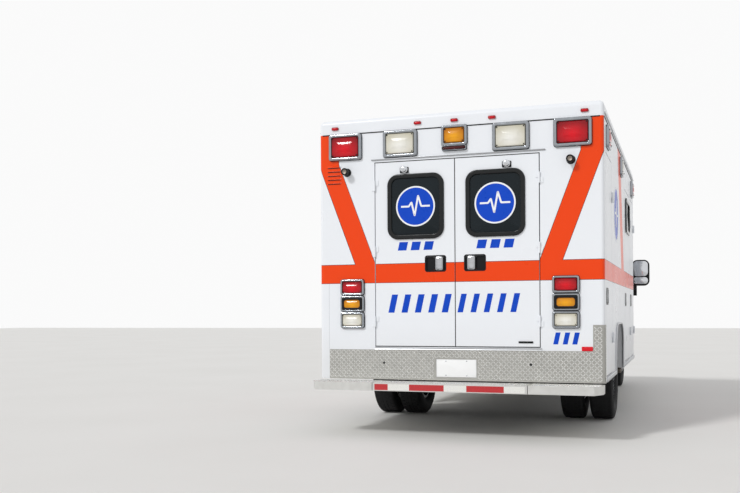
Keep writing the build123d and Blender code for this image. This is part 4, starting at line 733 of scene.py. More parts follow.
# %% Boxes of a node's separate solids
def solid_boxes(node):
    """The corners of each separate solid in a node."""
    twin = nodes[node].copy()
    twin.data = nodes[node].data.copy()
    twin.parent = None
    bpy.context.scene.collection.objects.link(twin)
    with editing(twin):
        bpy.ops.mesh.remove_doubles(threshold=1e-5)
        bpy.ops.mesh.separate(type="LOOSE")
    boxes = []
    for part in list(bpy.context.selected_objects):
        points = [vertex.co for vertex in part.data.vertices]
        boxes.append([Vector([choose(p[i] for p in points) for i in range(3)]) for choose in (min, max)])
        bpy.data.objects.remove(part)
    return boxes


def in_plane(plane, low, high):
    """A box as a face's plane sees it: the left bottom back corner and the right top front one."""
    a, b = [plane.inverted() @ corner for corner in (low, high)]
    return [Vector([choose(a[i], b[i]) for i in range(3)]) for choose in (min, max)]


def spread(low, high):
    """The middle and the size of a rectangle between two corners."""
    return ((low[0] + high[0]) / 2, (low[1] + high[1]) / 2), (high[0] - low[0], high[1] - low[1])


def on_faces(node):
    """The thin solids of a node that lie on a face: the face's plane, and the middle and size in it."""
    found = []
    for box in solid_boxes(node):
        for plane in (REAR, FRONT, RIGHT, LEFT):
            low, high = in_plane(plane, *box)
            if abs(low.z) < 0.004:
                found.append((plane, spread(low, high)[0], high - low))
                break
    return found


def round_about(middle, across, upright):
    """Four places round a middle."""
    return [(middle[0] + i * across, middle[1] + j * upright) for i in (-1, 1) for j in (-1, 1)]


door_low, door_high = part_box("rear_door_left")
DOOR_OUT, DOOR_FOOT, DOOR_HEAD = door_high.y, door_low.z, door_high.z
bezels = on_faces("lamp_bezels")
print("rear doors", round(DOOR_FOOT, 3), "to", round(DOOR_HEAD, 3), "and", len(bezels), "lamp bezels")

# %% [markdown]
# ## Lamps
# A warning lamp is a lens moulded as a shallow pillow, held by four dark screws in a chromed ring with a
# soft rim. The ring is a hoop with a bevelled edge. The lens is a slab whose front is drawn outwards and
# in, four times over, so that its middle stands proud as a real one's does. Sizes come from the frame, one
# lamp at a time.

# %% Warning lamps
SCREW_HEAD, LENS_CORNER, LENS_GAP, BED_EDGE = 0.006, 0.012, 0.004, 0.0035
LENSES = {"red": red_lens, "amber": amber_lens, "clear": clear_lens}
# How far each ring of the lens lies inwards, and its share of the rise
SWELLS = ((0.006, 0.50), (0.016, 0.28), (0.032, 0.15), (0.05, 0.07))
# The width of a lamp's ring, by the least height of the lamp
RING_WIDTHS = ((0.2, 0.026), (0.15, 0.022), (0.1, 0.016), (0.0, 0.005))


def pillow(middle, size, corner, rise):
    """A lens: straight sides, a rounded rim and a front that swells towards the middle."""
    piece = slab(middle, (size[0], size[1], size[2] - rise), corner)
    with editing(piece):
        for inset, lift in SWELLS:
            inset = min(inset, size[1] / 6)
            pick_front()
            pull((0, 0, rise * lift))
            scale((1 - 2 * inset / size[0], 1 - 2 * inset / size[1], 1), (*middle[:2], 0))
    place = piece.data.attributes.new("lens_place", "FLOAT_VECTOR", "POINT")
    for vertex, stored in zip(piece.data.vertices, place.data):
        stored.vector = [2 * (vertex.co[i] - middle[i]) / size[i] for i in (0, 1)] + [0]
    return piece


def screws(places, depth, radius=SCREW_HEAD):
    """Domed screw heads at places on a face, joined."""
    (x, y), *others = places
    head = {"segments": 12, "ring_count": 6, "radius": radius, "scale": (1, 1, 0.5)}
    first = begin(bpy.ops.mesh.primitive_uv_sphere_add, location=(x, y, depth), **head)
    return joined([first] + [copied(first, u - x, v - y, 0) for u, v in others])


mouldings = {kind: [] for kind in (*LENSES, "dark")}
rings, screw_heads, gaskets = [], [], []
for colour in LENSES:
    for plane, middle, size in on_faces(colour + "_lenses"):
        rise = size.z * 0.42
        is_lamp = size.y > 0.06 and size.x > 0.15
        gap = LENS_GAP if is_lamp else 0.0
        corner = min(LENS_CORNER, size.y / 3)
        glass = pillow(middle, (size.x - 2 * gap, size.y - 2 * gap, size.z), corner, rise)
        is_dark = plane is REAR and size.x > 0.15 and size.y < 0.07
        mouldings["dark" if is_dark else colour].append(put(glass, plane))
        if is_lamp:
            gaskets.append(put(slab(middle, (size.x - 0.001, size.y - 0.001, size.z * 0.40), corner), plane))
            corners = round_about(middle, size.x / 2 - gap - 0.010, size.y / 2 - gap - 0.010)
            radius = SCREW_HEAD if size.y > 0.11 else SCREW_HEAD * 0.6
            screw_heads.append(put(screws(corners, size.z - rise * 0.30, radius), plane))
for plane, middle, size in bezels:
    wide = next(width for least, width in RING_WIDTHS if size.y > least)
    outer = LENS_CORNER + wide / 3
    rings.append(put(hoop(middle, size, outer, wide, wide / 3, inner_corner=LENS_CORNER), plane))
    bed = (size.x + 2 * BED_EDGE, size.y + 2 * BED_EDGE, 0.003)
    gaskets.append(put(slab(middle, bed, outer + BED_EDGE), plane))
print("lamps:", {kind: len(made) for kind, made in mouldings.items()}, "in", len(rings), "rings")
for colour, material in LENSES.items():
    name, slot, node = colour + "_lens_mouldings", "lens_" + colour, colour + "_lenses"
    finished(name, mouldings[colour], material, stands_for=node)
finished("brake_lamp_lens", mouldings["dark"], dark_red_lens)
finished("lens_gaskets", gaskets, rubber)
finished("chrome_lamp_rings", rings, ring_chrome, stands_for="lamp_bezels")
finished("lens_screws", screw_heads, black_plastic)

# %% [markdown]
# The turn lamp of each tail stack sits in a dark surround, so a thin black panel with a smaller window lies
# over its lens. The brake lamp under the middle lamp is a long dark red strip.

# %% Dark surrounds
turn_lamps = [lamp for lamp in bezels if lamp[0] is REAR and lamp[2].y < 0.15 and 1.05 < lamp[1][1] < 1.18]
surrounds = [
    hoop((*middle, 0.024), (size.x - 0.034, size.y - 0.034, 0.0095), 0.010, 0.017, 0.003, inner_corner=0.020)
    for plane, middle, size in turn_lamps
]
finished("turn_lamp_surrounds", surrounds, black_plastic, REAR)
print("dark surrounds:", len(turn_lamps))

# %% [markdown]
# ## Rear windows
# Each pane is dark glass in a deep black frame of rubber-covered aluminium, whose rounded section catches a
# line of light. On the glass lies a round blue sign with a white edge, cut from vinyl, and its plain white
# pulse line.

# %% Rear windows
FRAME_WIDTH, FRAME_PROUD = 0.038, 0.016
BEAT = ((-0.74, 0), (-0.34, 0), (-0.20, 0.20), (-0.04, -0.46), (0.14, 0.52), (0.30, 0), (0.74, 0))


def framed_window(node, plane, corner, body):
    """A pane and its rounded frame, in the plane of a face. Gives the pane's middle."""
    middle, (wide, tall) = spread(*in_plane(plane, *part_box(node)))
    edge = hoop(middle, (wide, tall, FRAME_PROUD), corner, FRAME_WIDTH, 0.0075, 4)
    finished(node + "_frame", [edge], window_enamel, plane, body, 60)
    glass = (wide - 2 * FRAME_WIDTH + 0.002, tall - 2 * FRAME_WIDTH + 0.002, 0.006)
    pane = slab((*middle, -0.002), glass, corner - FRAME_WIDTH + 0.001, 0.001)
    finished(node + "_pane", [pane], privacy_glass, plane, body, stands_for=node)
    return middle


def pulse_sign(name, plane, middle, radius, depth, body="chassis"):
    """A round sign: a blue disc, its white edge and a white pulse line."""
    disc = {"radius": radius, "depth": 0.0008, "location": (*middle, depth + 0.0004)}
    disc = begin(bpy.ops.mesh.primitive_cylinder_add, vertices=64, **disc)
    finished(name + "_disc", [disc], blue_vinyl, plane, body)
    edge = {"radius": radius, "fill_type": "NGON", "location": (*middle, depth + 0.0009)}
    edge = begin(bpy.ops.mesh.primitive_circle_add, vertices=64, **edge)
    with editing(edge):
        bpy.ops.mesh.inset(thickness=radius * 0.075)
        bpy.ops.mesh.delete(type="FACE")
        bpy.ops.mesh.select_all(action="SELECT")
        pull((0, 0, 0.0006))
        close_up()
    level = depth + 0.001
    line = rod([(middle[0] + x * radius, middle[1] + y * radius, level) for x, y in BEAT],
               radius * 0.045, radius * 0.03, 1)
    with editing(line):
        scale((1, 1, 0.12), (0, 0, level))
    finished(name + "_marks", [edge, line], white_vinyl, plane, body)


for side, way in SIDES:
    middle = framed_window("rear_window_" + side, REAR, 0.095, "rear_door_" + side)
    pulse_sign("rear_sign_" + side, REAR, middle, 0.172, 0.0042, "rear_door_" + side)
WINDOW_MIDDLE = abs(middle[0])
framed_window("side_window", RIGHT, 0.070, "side_door")
print("windows at", round(WINDOW_MIDDLE, 3), "from the middle")

# %% [markdown]
# ## Blue bars
# A row of slanted blue bars in cut vinyl stands where such a vehicle carries its markings: a wide row over
# both doors, a short one under each window and one beside the right lamps. One bar is a thin slab whose top
# edge is pushed sideways in edit mode; the others are copies.

# %% Rows of slanted bars
def slanted_bars(name, left, right, foot, head, count, gap, body="chassis"):
    """A row of equal slanted bars between two places on the rear face."""
    pitch = (right - left + gap) / count
    wide, lean = pitch - gap, (head - foot) * 0.22
    bar = slab((left + wide / 2 - lean / 2, (foot + head) / 2), (wide - lean, head - foot, 0.0008))
    with editing(bar):
        pick("EDGE", lambda at, way: at.y > head - 1e-5)
        bpy.ops.transform.translate(value=(lean, 0, 0))
    bars = [bar] + [copied(bar, i * pitch, 0, 0) for i in range(1, count)]
    finished(name, bars, blue_vinyl, REAR, body, smooth=0)


slanted_bars("door_bars_left", -0.590, -0.030, 1.035, 1.190, 5, 0.030, "rear_door_left")
slanted_bars("door_bars_right", 0.018, 0.545, 1.035, 1.190, 5, 0.030, "rear_door_right")
for side, way in SIDES:
    at = -way * WINDOW_MIDDLE
    slanted_bars("small_bars_" + side, at - 0.16, at + 0.16, 1.566, 1.638, 3, 0.022, "rear_door_" + side)
slanted_bars("unit_bars", 0.810, 1.022, 0.772, 0.868, 3, 0.016)
print("bars in place")

# %% [markdown]
# ## Door seals, rails and the sill
# A black rubber seal shows as a thin line round each door. Over the doors runs a drip rail, and the cap's
# lower edge has another. A black strip under the cap's edge is partly painted shade, for the shadow the cap
# casts there. Under the doors lies an extruded aluminium sill, which scuffs bright.

# %% Seals, drip rails and sill
def in_gap(name, plane, low, high, gap, deep):
    """A rubber seal that fills the gap round a door, set back from the face."""
    middle, (wide, tall) = spread(low, high)
    ring = hoop((*middle, -deep), (wide + 2 * gap, tall + 2 * gap, 0.006), 0.012, gap, 0.0008, 1, 0.0045)
    finished(name, [ring], rubber, plane)


in_gap("rear_door_seal", REAR, (-DOOR_OUT, DOOR_FOOT), (DOOR_OUT, DOOR_HEAD), 0.0075, 0.008)
strip = slab((0, (DOOR_FOOT + DOOR_HEAD) / 2, -0.008), (0.0070, DOOR_HEAD - DOOR_FOOT, 0.005), 0, 0.001)
finished("split_seal", [strip], rubber, REAR, "rear_door_right")
rail = rod([(-0.735, 2.352, 0.004), (0.755, 2.352, 0.004)], 0.0055, sides=2)
lip = slab((0.01, 2.356), (1.49, 0.006, 0.013), 0, 0.0015)
finished("rear_drip_rail", [rail, lip], anodised, REAR)
sill = slab((0.005, 0.7305), (1.43, 0.022, 0.006), 0, 0.002)
nose = rod([(-0.71, 0.722, 0.004), (0.72, 0.722, 0.004)], 0.004, sides=2)
finished("rear_sill", [sill, nose], anodised, REAR)

# The black rubber strips under the cap's edge also stand in for the shade that the cap casts on the wall
seal_and_shade_strips, rails = [], []
for plane, along in ((REAR, 0), (FRONT, 0), (RIGHT, 1), (LEFT, -1)):
    length = LENGTH if along else 2 * HALF
    strip = slab((along * length / 2, CAP_BOTTOM - 0.004), (length - 0.06, 0.009, 0.0035), 0, 0.001)
    seal_and_shade_strips.append(put(strip, plane))
    if along:
        ends = [(along * x, CAP_BOTTOM + 0.030, 0.004) for x in (0.04, length - 0.04)]
        rails.append(put(rod(ends, 0.007, sides=2), plane))
finished("cap_seal_and_shade_strip", seal_and_shade_strips, rubber)
finished("cap_side_rails", rails, anodised)
print("seals, rails and sill in place")

# %% [markdown]
# ## Door handles
# The frame has a pocket in each door's skin with a plain paddle in it. A black pan lines the pocket: a slab
# with its face inset and pushed in. A brushed plate with a dished face covers the paddle at the door's free
# edge.

# %% Handles
POCKET_WIDE, POCKET_HIGH, POCKET_DEEP = 0.172, 0.126, 0.014
PADDLE_MIDDLE, PADDLE_WIDE, PADDLE_HIGH = 0.032, 0.086, 0.104
HANDLE_ACROSS, HANDLE_UP = 0.1695, DOOR_FOOT + 0.697


def paddle_handle(name, plane, middle, toward, body):
    """A pan in the door's pocket, with its paddle at the end that toward points to."""
    x, y = middle
    lining = (POCKET_WIDE - 0.001, POCKET_HIGH - 0.001, POCKET_DEEP + 0.0016)
    pan = slab((x, y, 0.0004 - POCKET_DEEP), lining, 0.015, 0.001)
    with editing(pan):
        pick_front(above=0)
        bpy.ops.mesh.inset(thickness=0.006)
        pull((0, 0, -POCKET_DEEP))
    rim = hoop(middle, (POCKET_WIDE + 0.014, POCKET_HIGH + 0.014, 0.0022), 0.020, 0.009, 0.0009, 2)
    finished(name + "_pan", [pan, rim], black_plastic, plane, body)
    x += toward * PADDLE_MIDDLE
    paddle = slab((x, y, -0.0046), (PADDLE_WIDE, PADDLE_HIGH, 0.0072), 0.005, 0.0018)
    root = slab((x + toward * 0.034, y, -0.0130), (0.018, PADDLE_HIGH, 0.009))
    finished(name + "_paddle", [paddle, root], black_plastic, plane, body)
    plate = slab((x, y, 0.0022), (0.050, PADDLE_HIGH - 0.004, 0.0018), 0.004, 0.0008)
    with editing(plate):
        pick_front()
        bpy.ops.mesh.inset(thickness=0.006)
        bpy.ops.mesh.inset(thickness=0.003, depth=-0.0009)
    finished(name + "_plate", [plate], anodised, plane, body)


for side, way in SIDES:
    paddle_handle("rear_handle_" + side, REAR, (-way * HANDLE_ACROSS, HANDLE_UP), way, "rear_door_" + side)
print("rear handles at", round(HANDLE_UP, 3))

# %% [markdown]
# At the top of each rear door a chromed hook meets a rubber cup on the wall when the door stands open, and
# it snaps into the metal socket there. All three are turned parts, so each is a profile of radius and
# height, spun.

# %% Hooks and catches
HOOK_ACROSS, HOOK_UP, CATCH_ACROSS = 0.440, 2.258, 0.960
KNOB = (
    (0.0, 0.046), (0.014, 0.045), (0.024, 0.040), (0.028, 0.032), (0.0265, 0.022), (0.0225, 0.017),
    (0.0225, 0.010), (0.030, 0.006), (0.031, 0.0), (0.0, 0.0),
)
CUP = (
    (0.0, 0.0712), (0.0195, 0.0712), (0.0225, 0.0735), (0.0240, 0.0770), (0.0290, 0.0770), (0.0312, 0.0740),
    (0.0312, 0.0640), (0.0275, 0.0500), (0.0265, 0.0120), (0.0360, 0.0070), (0.0365, 0.0), (0.0, 0.0),
)
SOCKET = (
    (0.0, 0.0722), (0.0080, 0.0724), (0.0150, 0.0742), (0.0190, 0.0752), (0.0200, 0.0730), (0.0, 0.0713),
)

for side, way in SIDES:
    hook, catch = [(-way * across, HOOK_UP, 0) for across in (HOOK_ACROSS, CATCH_ACROSS)]
    finished("door_hook_" + side, [lathe(KNOB, hook, 28)], chrome, REAR, "rear_door_" + side)
    foot = slab((hook[0], HOOK_UP - 0.006), (0.078, 0.052, 0.004), 0.008, 0.001)
    finished("door_hook_foot_" + side, [foot], black_plastic, REAR, "rear_door_" + side)
    finished("door_catch_" + side, [lathe(CUP, catch, 28)], rubber, REAR)
    finished("door_catch_socket_" + side, [lathe(SOCKET, catch, 28)], aluminised, REAR)
latch = slab((0.590, 0.787), (0.120, 0.016, 0.006), 0.005, 0.002)
finished("foot_latch", [latch], black_plastic, REAR, "rear_door_right")
print("hooks and catches in place")

# %% [markdown]
# ## Tread plate
# Tread plate is rolled with short raised bars that lean left and right in turn. One bar is a slab whose top
# is drawn in. Two by two of them make a cell, and array modifiers repeat the cell over each flat stretch.
# The cells stand on one grid, so the pattern runs on round the plate's recess.

# %% Raised bars
BAR_PITCH, BAR_SIZE = 0.022, (0.0235, 0.0062, 0.0016)
RECESS_LEFT, RECESS_RIGHT, RECESS_FOOT, RECESS_HEAD = -0.167, 0.178, 0.491, 0.641
KICK_FOOT, KICK_HEAD, GUARD_HEAD = 0.475, 0.706, 0.920
FLAT_REAR, FLAT_RIGHT = facing("back", X_FACE - 0.003), facing("right", y=-HALF - 0.003)
flip_low, flip_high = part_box("flip_step")
X_STEP, STEP_TOP, STEP_FOOT = flip_low.x, flip_high.z, flip_low.z
STEP_FACE, BOARD_TOP = facing("up", X_STEP, 0, STEP_TOP), facing("up", 1.255, 0, 0.500)


def tread_bars(plane, low, high):
    """Raised bars over one flat stretch; low and high bound the places of their middles."""
    start = [math.ceil(low[i] / BAR_PITCH) * BAR_PITCH for i in (0, 1)]
    counts = [math.floor((high[i] - start[i]) / BAR_PITCH) + 1 for i in (0, 1)]
    bars = []
    for i, j in ((0, 0), (1, 0), (0, 1), (1, 1)):
        bar = slab((0, 0), BAR_SIZE)
        with editing(bar):
            pick_front()
            scale((0.8, 0.45, 1))
        turn = Matrix.Rotation(math.radians(45 if (i + j) % 2 else -45), 4, "Z")
        at = (start[0] + i * BAR_PITCH, start[1] + j * BAR_PITCH, 0)
        bars.append(put(bar, Matrix.Translation(at) @ turn))
    piece = joined(bars)
    for axis in (0, 1):
        array = piece.modifiers.new("rows", "ARRAY")
        array.use_relative_offset = False
        array.use_constant_offset = True
        array.constant_offset_displace = [2 * BAR_PITCH if i == axis else 0 for i in range(3)]
        array.count = math.ceil(counts[axis] / 2)
        bpy.ops.object.modifier_apply(modifier=array.name)
    last = [start[i] + (counts[i] - 0.5) * BAR_PITCH for i in (0, 1)]
    with editing(piece):
        if pick("FACE", lambda at, way: at.x > last[0] or at.y > last[1]):
            bpy.ops.mesh.delete(type="FACE")
    return put(piece, plane)


STRETCHES = (
    (FLAT_REAR, (-1.122, KICK_FOOT), (RECESS_LEFT - 0.012, KICK_HEAD)),
    (FLAT_REAR, (RECESS_RIGHT + 0.012, KICK_FOOT), (1.208, KICK_HEAD)),
    (FLAT_REAR, (RECESS_LEFT - 0.010, RECESS_HEAD + 0.012), (RECESS_RIGHT + 0.010, KICK_HEAD)),
    (FLAT_REAR, (1.136, 0.708), (1.208, GUARD_HEAD)),
    (FLAT_RIGHT, (0.010, KICK_FOOT), (0.082, GUARD_HEAD)),
)
kick = [tread_bars(*stretch) for stretch in STRETCHES]
finished("kick_plate_bars", kick, tread_tops, smooth=0)
# The step's fixed ends and the running boards: plane, middle, half of the width, and the reach outwards
BOARDS = ((STEP_FACE, 0.930, 0.270, 0.014, 0.232), (BOARD_TOP, 0.982, 0.084, 0.012, 0.882))
ends = [
    tread_bars(plane, (way * middle - half, near), (way * middle + half, far))
    for _, way in SIDES for plane, middle, half, near, far in BOARDS
]
finished("step_bars", ends, tread_tops, smooth=0)
flip = tread_bars(STEP_FACE, (-0.630, 0.014), (0.630, 0.200))
finished("flip_step_bars", [flip], tread_tops, HERE, "flip_step", 0)
print("tread bars:", len(kick), "stretches on the kick plate")

# %% [markdown]
# ## Tape, plate and small things on the rear
# The folding step's edge carries 50 mm reflective tape in red and white blocks. Each block is a very thin
# slab.

# %% Tape
TAPE_HEIGHT, TAPE_MIDDLE = 0.050, (STEP_TOP + STEP_FOOT) / 2 - 0.002
TAPES = (
    ("red", red_tape, ((-0.625, -0.509), (-0.325, -0.032), (0.155, 0.459))),
    ("white", white_tape, ((-0.509, -0.325), (-0.032, 0.155), (0.459, 0.625))),
)
for name, material, spans in TAPES:
    blocks = [slab(((a + b) / 2, TAPE_MIDDLE), (b - a, TAPE_HEIGHT, 0.0006), 0.002) for a, b in spans]
    finished("step_tape_" + name, blocks, material, facing("back", X_STEP), "flip_step", smooth=0)
print("tape on the folding step")

# %% [markdown]
# The recess holds a bare white sheet on four screws. Beside it are two turned rubber plugs and a red
# reflector. On the upper left five louvres let air out of the room, and under each painted hood a thin
# black slab stands in for the shade in its slit.

# %% Plate, plugs, reflector and louvres
middle, (wide, tall) = spread((RECESS_LEFT, RECESS_FOOT), (RECESS_RIGHT, RECESS_HEAD))
HOLES_ACROSS, HOLES_UP = 0.0889, 0.0603
plate = slab(middle, (wide - 0.006, tall - 0.004, 0.0022), 0.012, 0.0006)
finished("blank_plate", [plate], blank_white, REAR)
plate_screws = screws(round_about(middle, HOLES_ACROSS, HOLES_UP), 0.0022)
finished("plate_screws", [plate_screws], anodised, REAR)
PLUG = ((0, 0.0035), (0.006, 0.003), (0.0105, 0.001), (0.011, 0.0), (0, 0.0))
plugs = [lathe(PLUG, (x, 0.605, 0), 20) for x in (-0.630, 0.630)]
finished("kick_plate_plugs", plugs, rubber, FLAT_REAR)
reflector = slab((1.0805, 0.7365), (0.087, 0.035, 0.006), 0.004, 0.0015)
finished("right_reflector", [reflector], red_lens, REAR)
LOUVRES, LOUVRE_PITCH = 5, 0.035
# Painted shade: each slit is a thin black slab, for the dark inside the opening under its hood
slit_heights = [CAP_BOTTOM - 0.430 + i * LOUVRE_PITCH - 0.0042 for i in range(LOUVRES)]
shade_slits = [slab((-1.0825, up), (0.115, 0.0040, 0.0045), 0.001) for up in slit_heights]
finished("louvre_shade_slits", shade_slits, rubber, REAR)
seam = slab((-1.136, 1.006), (0.0018, 0.568, 0.0004))
finished("rear_seam", [seam], sealant, REAR, smooth=0)
print("plate, plugs, reflector and", LOUVRES, "louvres")

# %% [markdown]
# ## Sides of the box
# Lockers close with paddle latches at their free edges, and rubber seals show round their doors. Seal and
# handle are the ones of the rear doors, placed by each door's own box.

# %% Sides of the box
HINGE_KNUCKLE = 0.012
side_doors = [name for name in nodes if name.startswith("locker_door")] + ["side_door"]
for name in side_doors:
    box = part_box(name)
    plane, edge = (RIGHT, 1) if box[0].y < 0 else (LEFT, -1)
    low, high = in_plane(plane, *box)
    # The hinge knuckles reach past the door's front edge, so the skin ends before them
    (high if edge > 0 else low).x -= edge * HINGE_KNUCKLE
    in_gap(name + "_seal", plane, low, high, 0.0070, 0.014)
    free = low.x if edge > 0 else high.x
    latch_up = min((low.y + high.y) / 2, 1.160)
    paddle_handle(name + "_handle", plane, (free + edge * 0.107, latch_up), -edge, name)
print("handles on", len(side_doors), "side doors")

# %% [markdown]
# The wheel arch is edged with a bright bead, a scuff rail runs along the foot of the wall, and each side
# carries the round sign. The bead is a bar bent round the arch. The fuel filler on the left is a turned cap
# with a grip.

# %% Arches, rails and signs
tyre_low, tyre_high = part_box("rear_tyres_left")
REAR_AXLE = (tyre_low.x + tyre_high.x) / 2 - X_FACE
FRONT_AXLE_X = sum(corner.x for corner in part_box("front_tyre_left")) / 2
ARCH_REACH, ARCH_TOP, ARCH_CORNER = 0.500, 0.920, 0.260
wall_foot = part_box("module_left_wall")[0].z
rail_ends = ((0.10, REAR_AXLE - ARCH_REACH - 0.02), (REAR_AXLE + ARCH_REACH + 0.02, LENGTH - 0.05))
for side, plane, way in (("right", RIGHT, 1), ("left", LEFT, -1)):
    turns = ((-1, wall_foot + 0.006), (-1, ARCH_TOP), (1, ARCH_TOP), (1, wall_foot + 0.006))
    bead = rod([(way * REAR_AXLE + i * ARCH_REACH, up, 0.004) for i, up in turns], 0.010, ARCH_CORNER)
    finished("arch_bead_" + side, [bead], anodised, plane)
    rails = [
        slab((way * (start + end) / 2, wall_foot + 0.020), (end - start, 0.036, 0.012), 0.004, 0.004)
        for start, end in rail_ends
    ]
    finished("scuff_rails_" + side, rails, anodised, plane)
    pulse_sign("side_sign_" + side, plane, (way * 1.30, 1.935), 0.255, 0.0)
FILLER_AT = (-0.99, 1.02)
FILLER = ((0, 0.006), (0.050, 0.006), (0.056, 0.012), (0.070, 0.012), (0.078, 0.004), (0.078, 0), (0, 0))
grip = slab((*FILLER_AT, 0.006), (0.060, 0.016, 0.010), 0.006, 0.003)
finished("fuel_filler", [lathe(FILLER, (*FILLER_AT, 0), 40), grip], anodised, LEFT)
print("arches at", round(REAR_AXLE, 3), "m ahead of the rear face")

# %% [markdown]
# ## Tyres
# A road tyre is a ring, so its section is drawn and spun. The tread has five ribs, and blocks are made by
# picking every fourth face round a rib and scaling it towards the axle. The section hugs the rim's lip, as
# the bead of a fitted tyre does.

# %% Tyre
TYRE_STEPS, BLOCK_EVERY, GROOVE_FOOT = 180, 4, 0.3625
# Radius and distance from the middle, from the bead to the shoulder
WALL = [
    (0.2046, 0.0724), (0.2172, 0.0728), (0.2178, 0.0840), (0.2300, 0.0960), (0.2560, 0.1060),
    (0.2850, 0.1095), (0.3040, 0.1098), (0.3055, 0.1112), (0.3120, 0.1112), (0.3135, 0.1094),
    (0.3300, 0.1075), (0.3450, 0.1020), (0.3460, 0.1035), (0.3560, 0.0985), (0.3650, 0.0905),
]
RIBS = ((0.0568, 0.0840), (0.0216, 0.0488), (-0.0136, 0.0136), (-0.0488, -0.0216), (-0.0840, -0.0568))
tyre_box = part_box("front_tyre_left")
tyre_radius = (tyre_box[1].z - tyre_box[0].z) / 2 - 0.0003
axle_z = (tyre_box[0].z + tyre_box[1].z) / 2
section = [(radius, -along) for radius, along in WALL]
for number, (start, end) in enumerate(RIBS):
    crown = tyre_radius - 0.0004 * (number - 2) ** 2
    section += [(GROOVE_FOOT, start - 0.0010)] * (number > 0) + [(crown, start), (crown, end)]
    section += [(GROOVE_FOOT, end + 0.0010)] * (number < 4)
section += [*reversed(WALL), section[0]]
tyre_mesh = lathe(section, (0, 0, 0), TYRE_STEPS, (0, 1, 0))


def block_faces(low, high, offset):
    """A test for faces of a rib, one in so many round the tyre."""
    def test(at, way):
        number = math.floor(math.degrees(math.atan2(at.z, at.x)) * TYRE_STEPS / 360)
        return low < at.y < high and math.hypot(at.x, at.z) > 0.367 and number % BLOCK_EVERY == offset
    return test


for low, high, offset in ((0.058, 0.083, 0), (-0.083, -0.058, 0), (0.023, 0.047, 2), (-0.047, -0.023, 2)):
    with editing(tyre_mesh):
        pick("FACE", block_faces(low, high, offset))
        pull()
        scale((0.978, 1, 0.978))
print("tyre of", len(tyre_mesh.data.polygons), "faces, radius", round(tyre_radius, 4))

# %% [markdown]
# The one tyre was made at the origin. Copies of it go to the six places, the twins joined in pairs, and
# stand for the plain rings of the frame.

# %% Fitted tyres
def wheel_face(node, out=0.0):
    """The middle of a wheel's tyres, moved out along the axle."""
    low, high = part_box(node)
    return (low + high) / 2 + Vector((0, out, 0))


half_tyre = (tyre_box[1].y - tyre_box[0].y) / 2
for side, way in SIDES:
    node = "front_tyre_" + side
    tyre = copied(tyre_mesh, *wheel_face(node))
    finished("road_tyre_front_" + side, [tyre], tyre_rubber, HERE, "front_wheel_" + side, 30, node)
    node = "rear_tyres_" + side
    low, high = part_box(node)
    places = (low.y + half_tyre, high.y - half_tyre)
    twins = [copied(tyre_mesh, (low.x + high.x) / 2, y, axle_z) for y in places]
    finished("road_tyres_rear_" + side, twins, tyre_rubber, HERE, "rear_wheels_" + side, 30, node)
bpy.data.objects.remove(tyre_mesh)
print("six tyres fitted")

# %% [markdown]
# ## Wheel centres
# Eight nuts hold each wheel. A nut is a six-sided turned form with a coned seat. The front hubs carry a
# domed cap, and the twin wheels' hub is the floating axle's flange, with a ring of small bolts on its end.

# %% Nuts and hubs
NUTS, NUT_RING, DISC_OUT, TWIN_DISC_OUT, HUB_OUT = 8, 0.0885, 0.1352, 0.0122, 0.140
CAP = (
    (0, 0.0475), (0.030, 0.0465), (0.050, 0.0430), (0.0600, 0.0370),
    (0.0632, 0.028), (0.0632, 0.002), (0.066, 0.0), (0, 0),
)
FLANGE = (
    (0, 0.0035), (0.024, 0.0035), (0.026, 0.0005), (0.064, 0.0005),
    (0.0672, -0.003), (0.0672, -0.016), (0, -0.016),
)


def nuts(face, out, ring, radius, height):
    """A ring of nuts on a disc whose outside faces along the axle."""
    profile = (
        (0, height), (radius * 0.55, height), (radius * 0.92, height * 0.86),
        (radius, height * 0.30), (radius * 1.25, height * 0.12), (radius * 1.25, 0), (0, 0),
    )
    made = []
    for i in range(NUTS):
        turn = 2 * math.pi * (i + 0.5) / NUTS
        at = face + ring * Vector((math.cos(turn), 0, math.sin(turn)))
        made.append(lathe(profile, at, 6, (0, out, 0)))
    return joined(made)


for side, way in SIDES:
    body, face = "front_wheel_" + side, wheel_face("front_tyre_" + side, way * DISC_OUT)
    finished("front_nuts_" + side, [nuts(face, way, NUT_RING, 0.0125, 0.024)], chrome, HERE, body)
    finished("front_cap_" + side, [lathe(CAP, face, 48, (0, way, 0))], chrome, HERE, body)
    body, face = "rear_wheels_" + side, wheel_face("rear_tyres_" + side, way * TWIN_DISC_OUT)
    finished("rear_nuts_" + side, [nuts(face, way, NUT_RING, 0.0125, 0.026)], chrome, HERE, body)
    hub = wheel_face("rear_tyres_" + side, way * HUB_OUT)
    flange = [lathe(FLANGE, hub, 48, (0, way, 0)), nuts(hub, way, 0.046, 0.0075, 0.009)]
    finished("rear_flange_" + side, flange, casting, HERE, body)
print("wheel centres done")

# %% [markdown]
# ## Cab
# The cab is seen from the front and sides. Its headlamps are open boxes with a bright bowl behind a clear
# cover, so each box is a slab whose face is inset and pushed in. A dark core of thin slabs stands behind
# the grille.

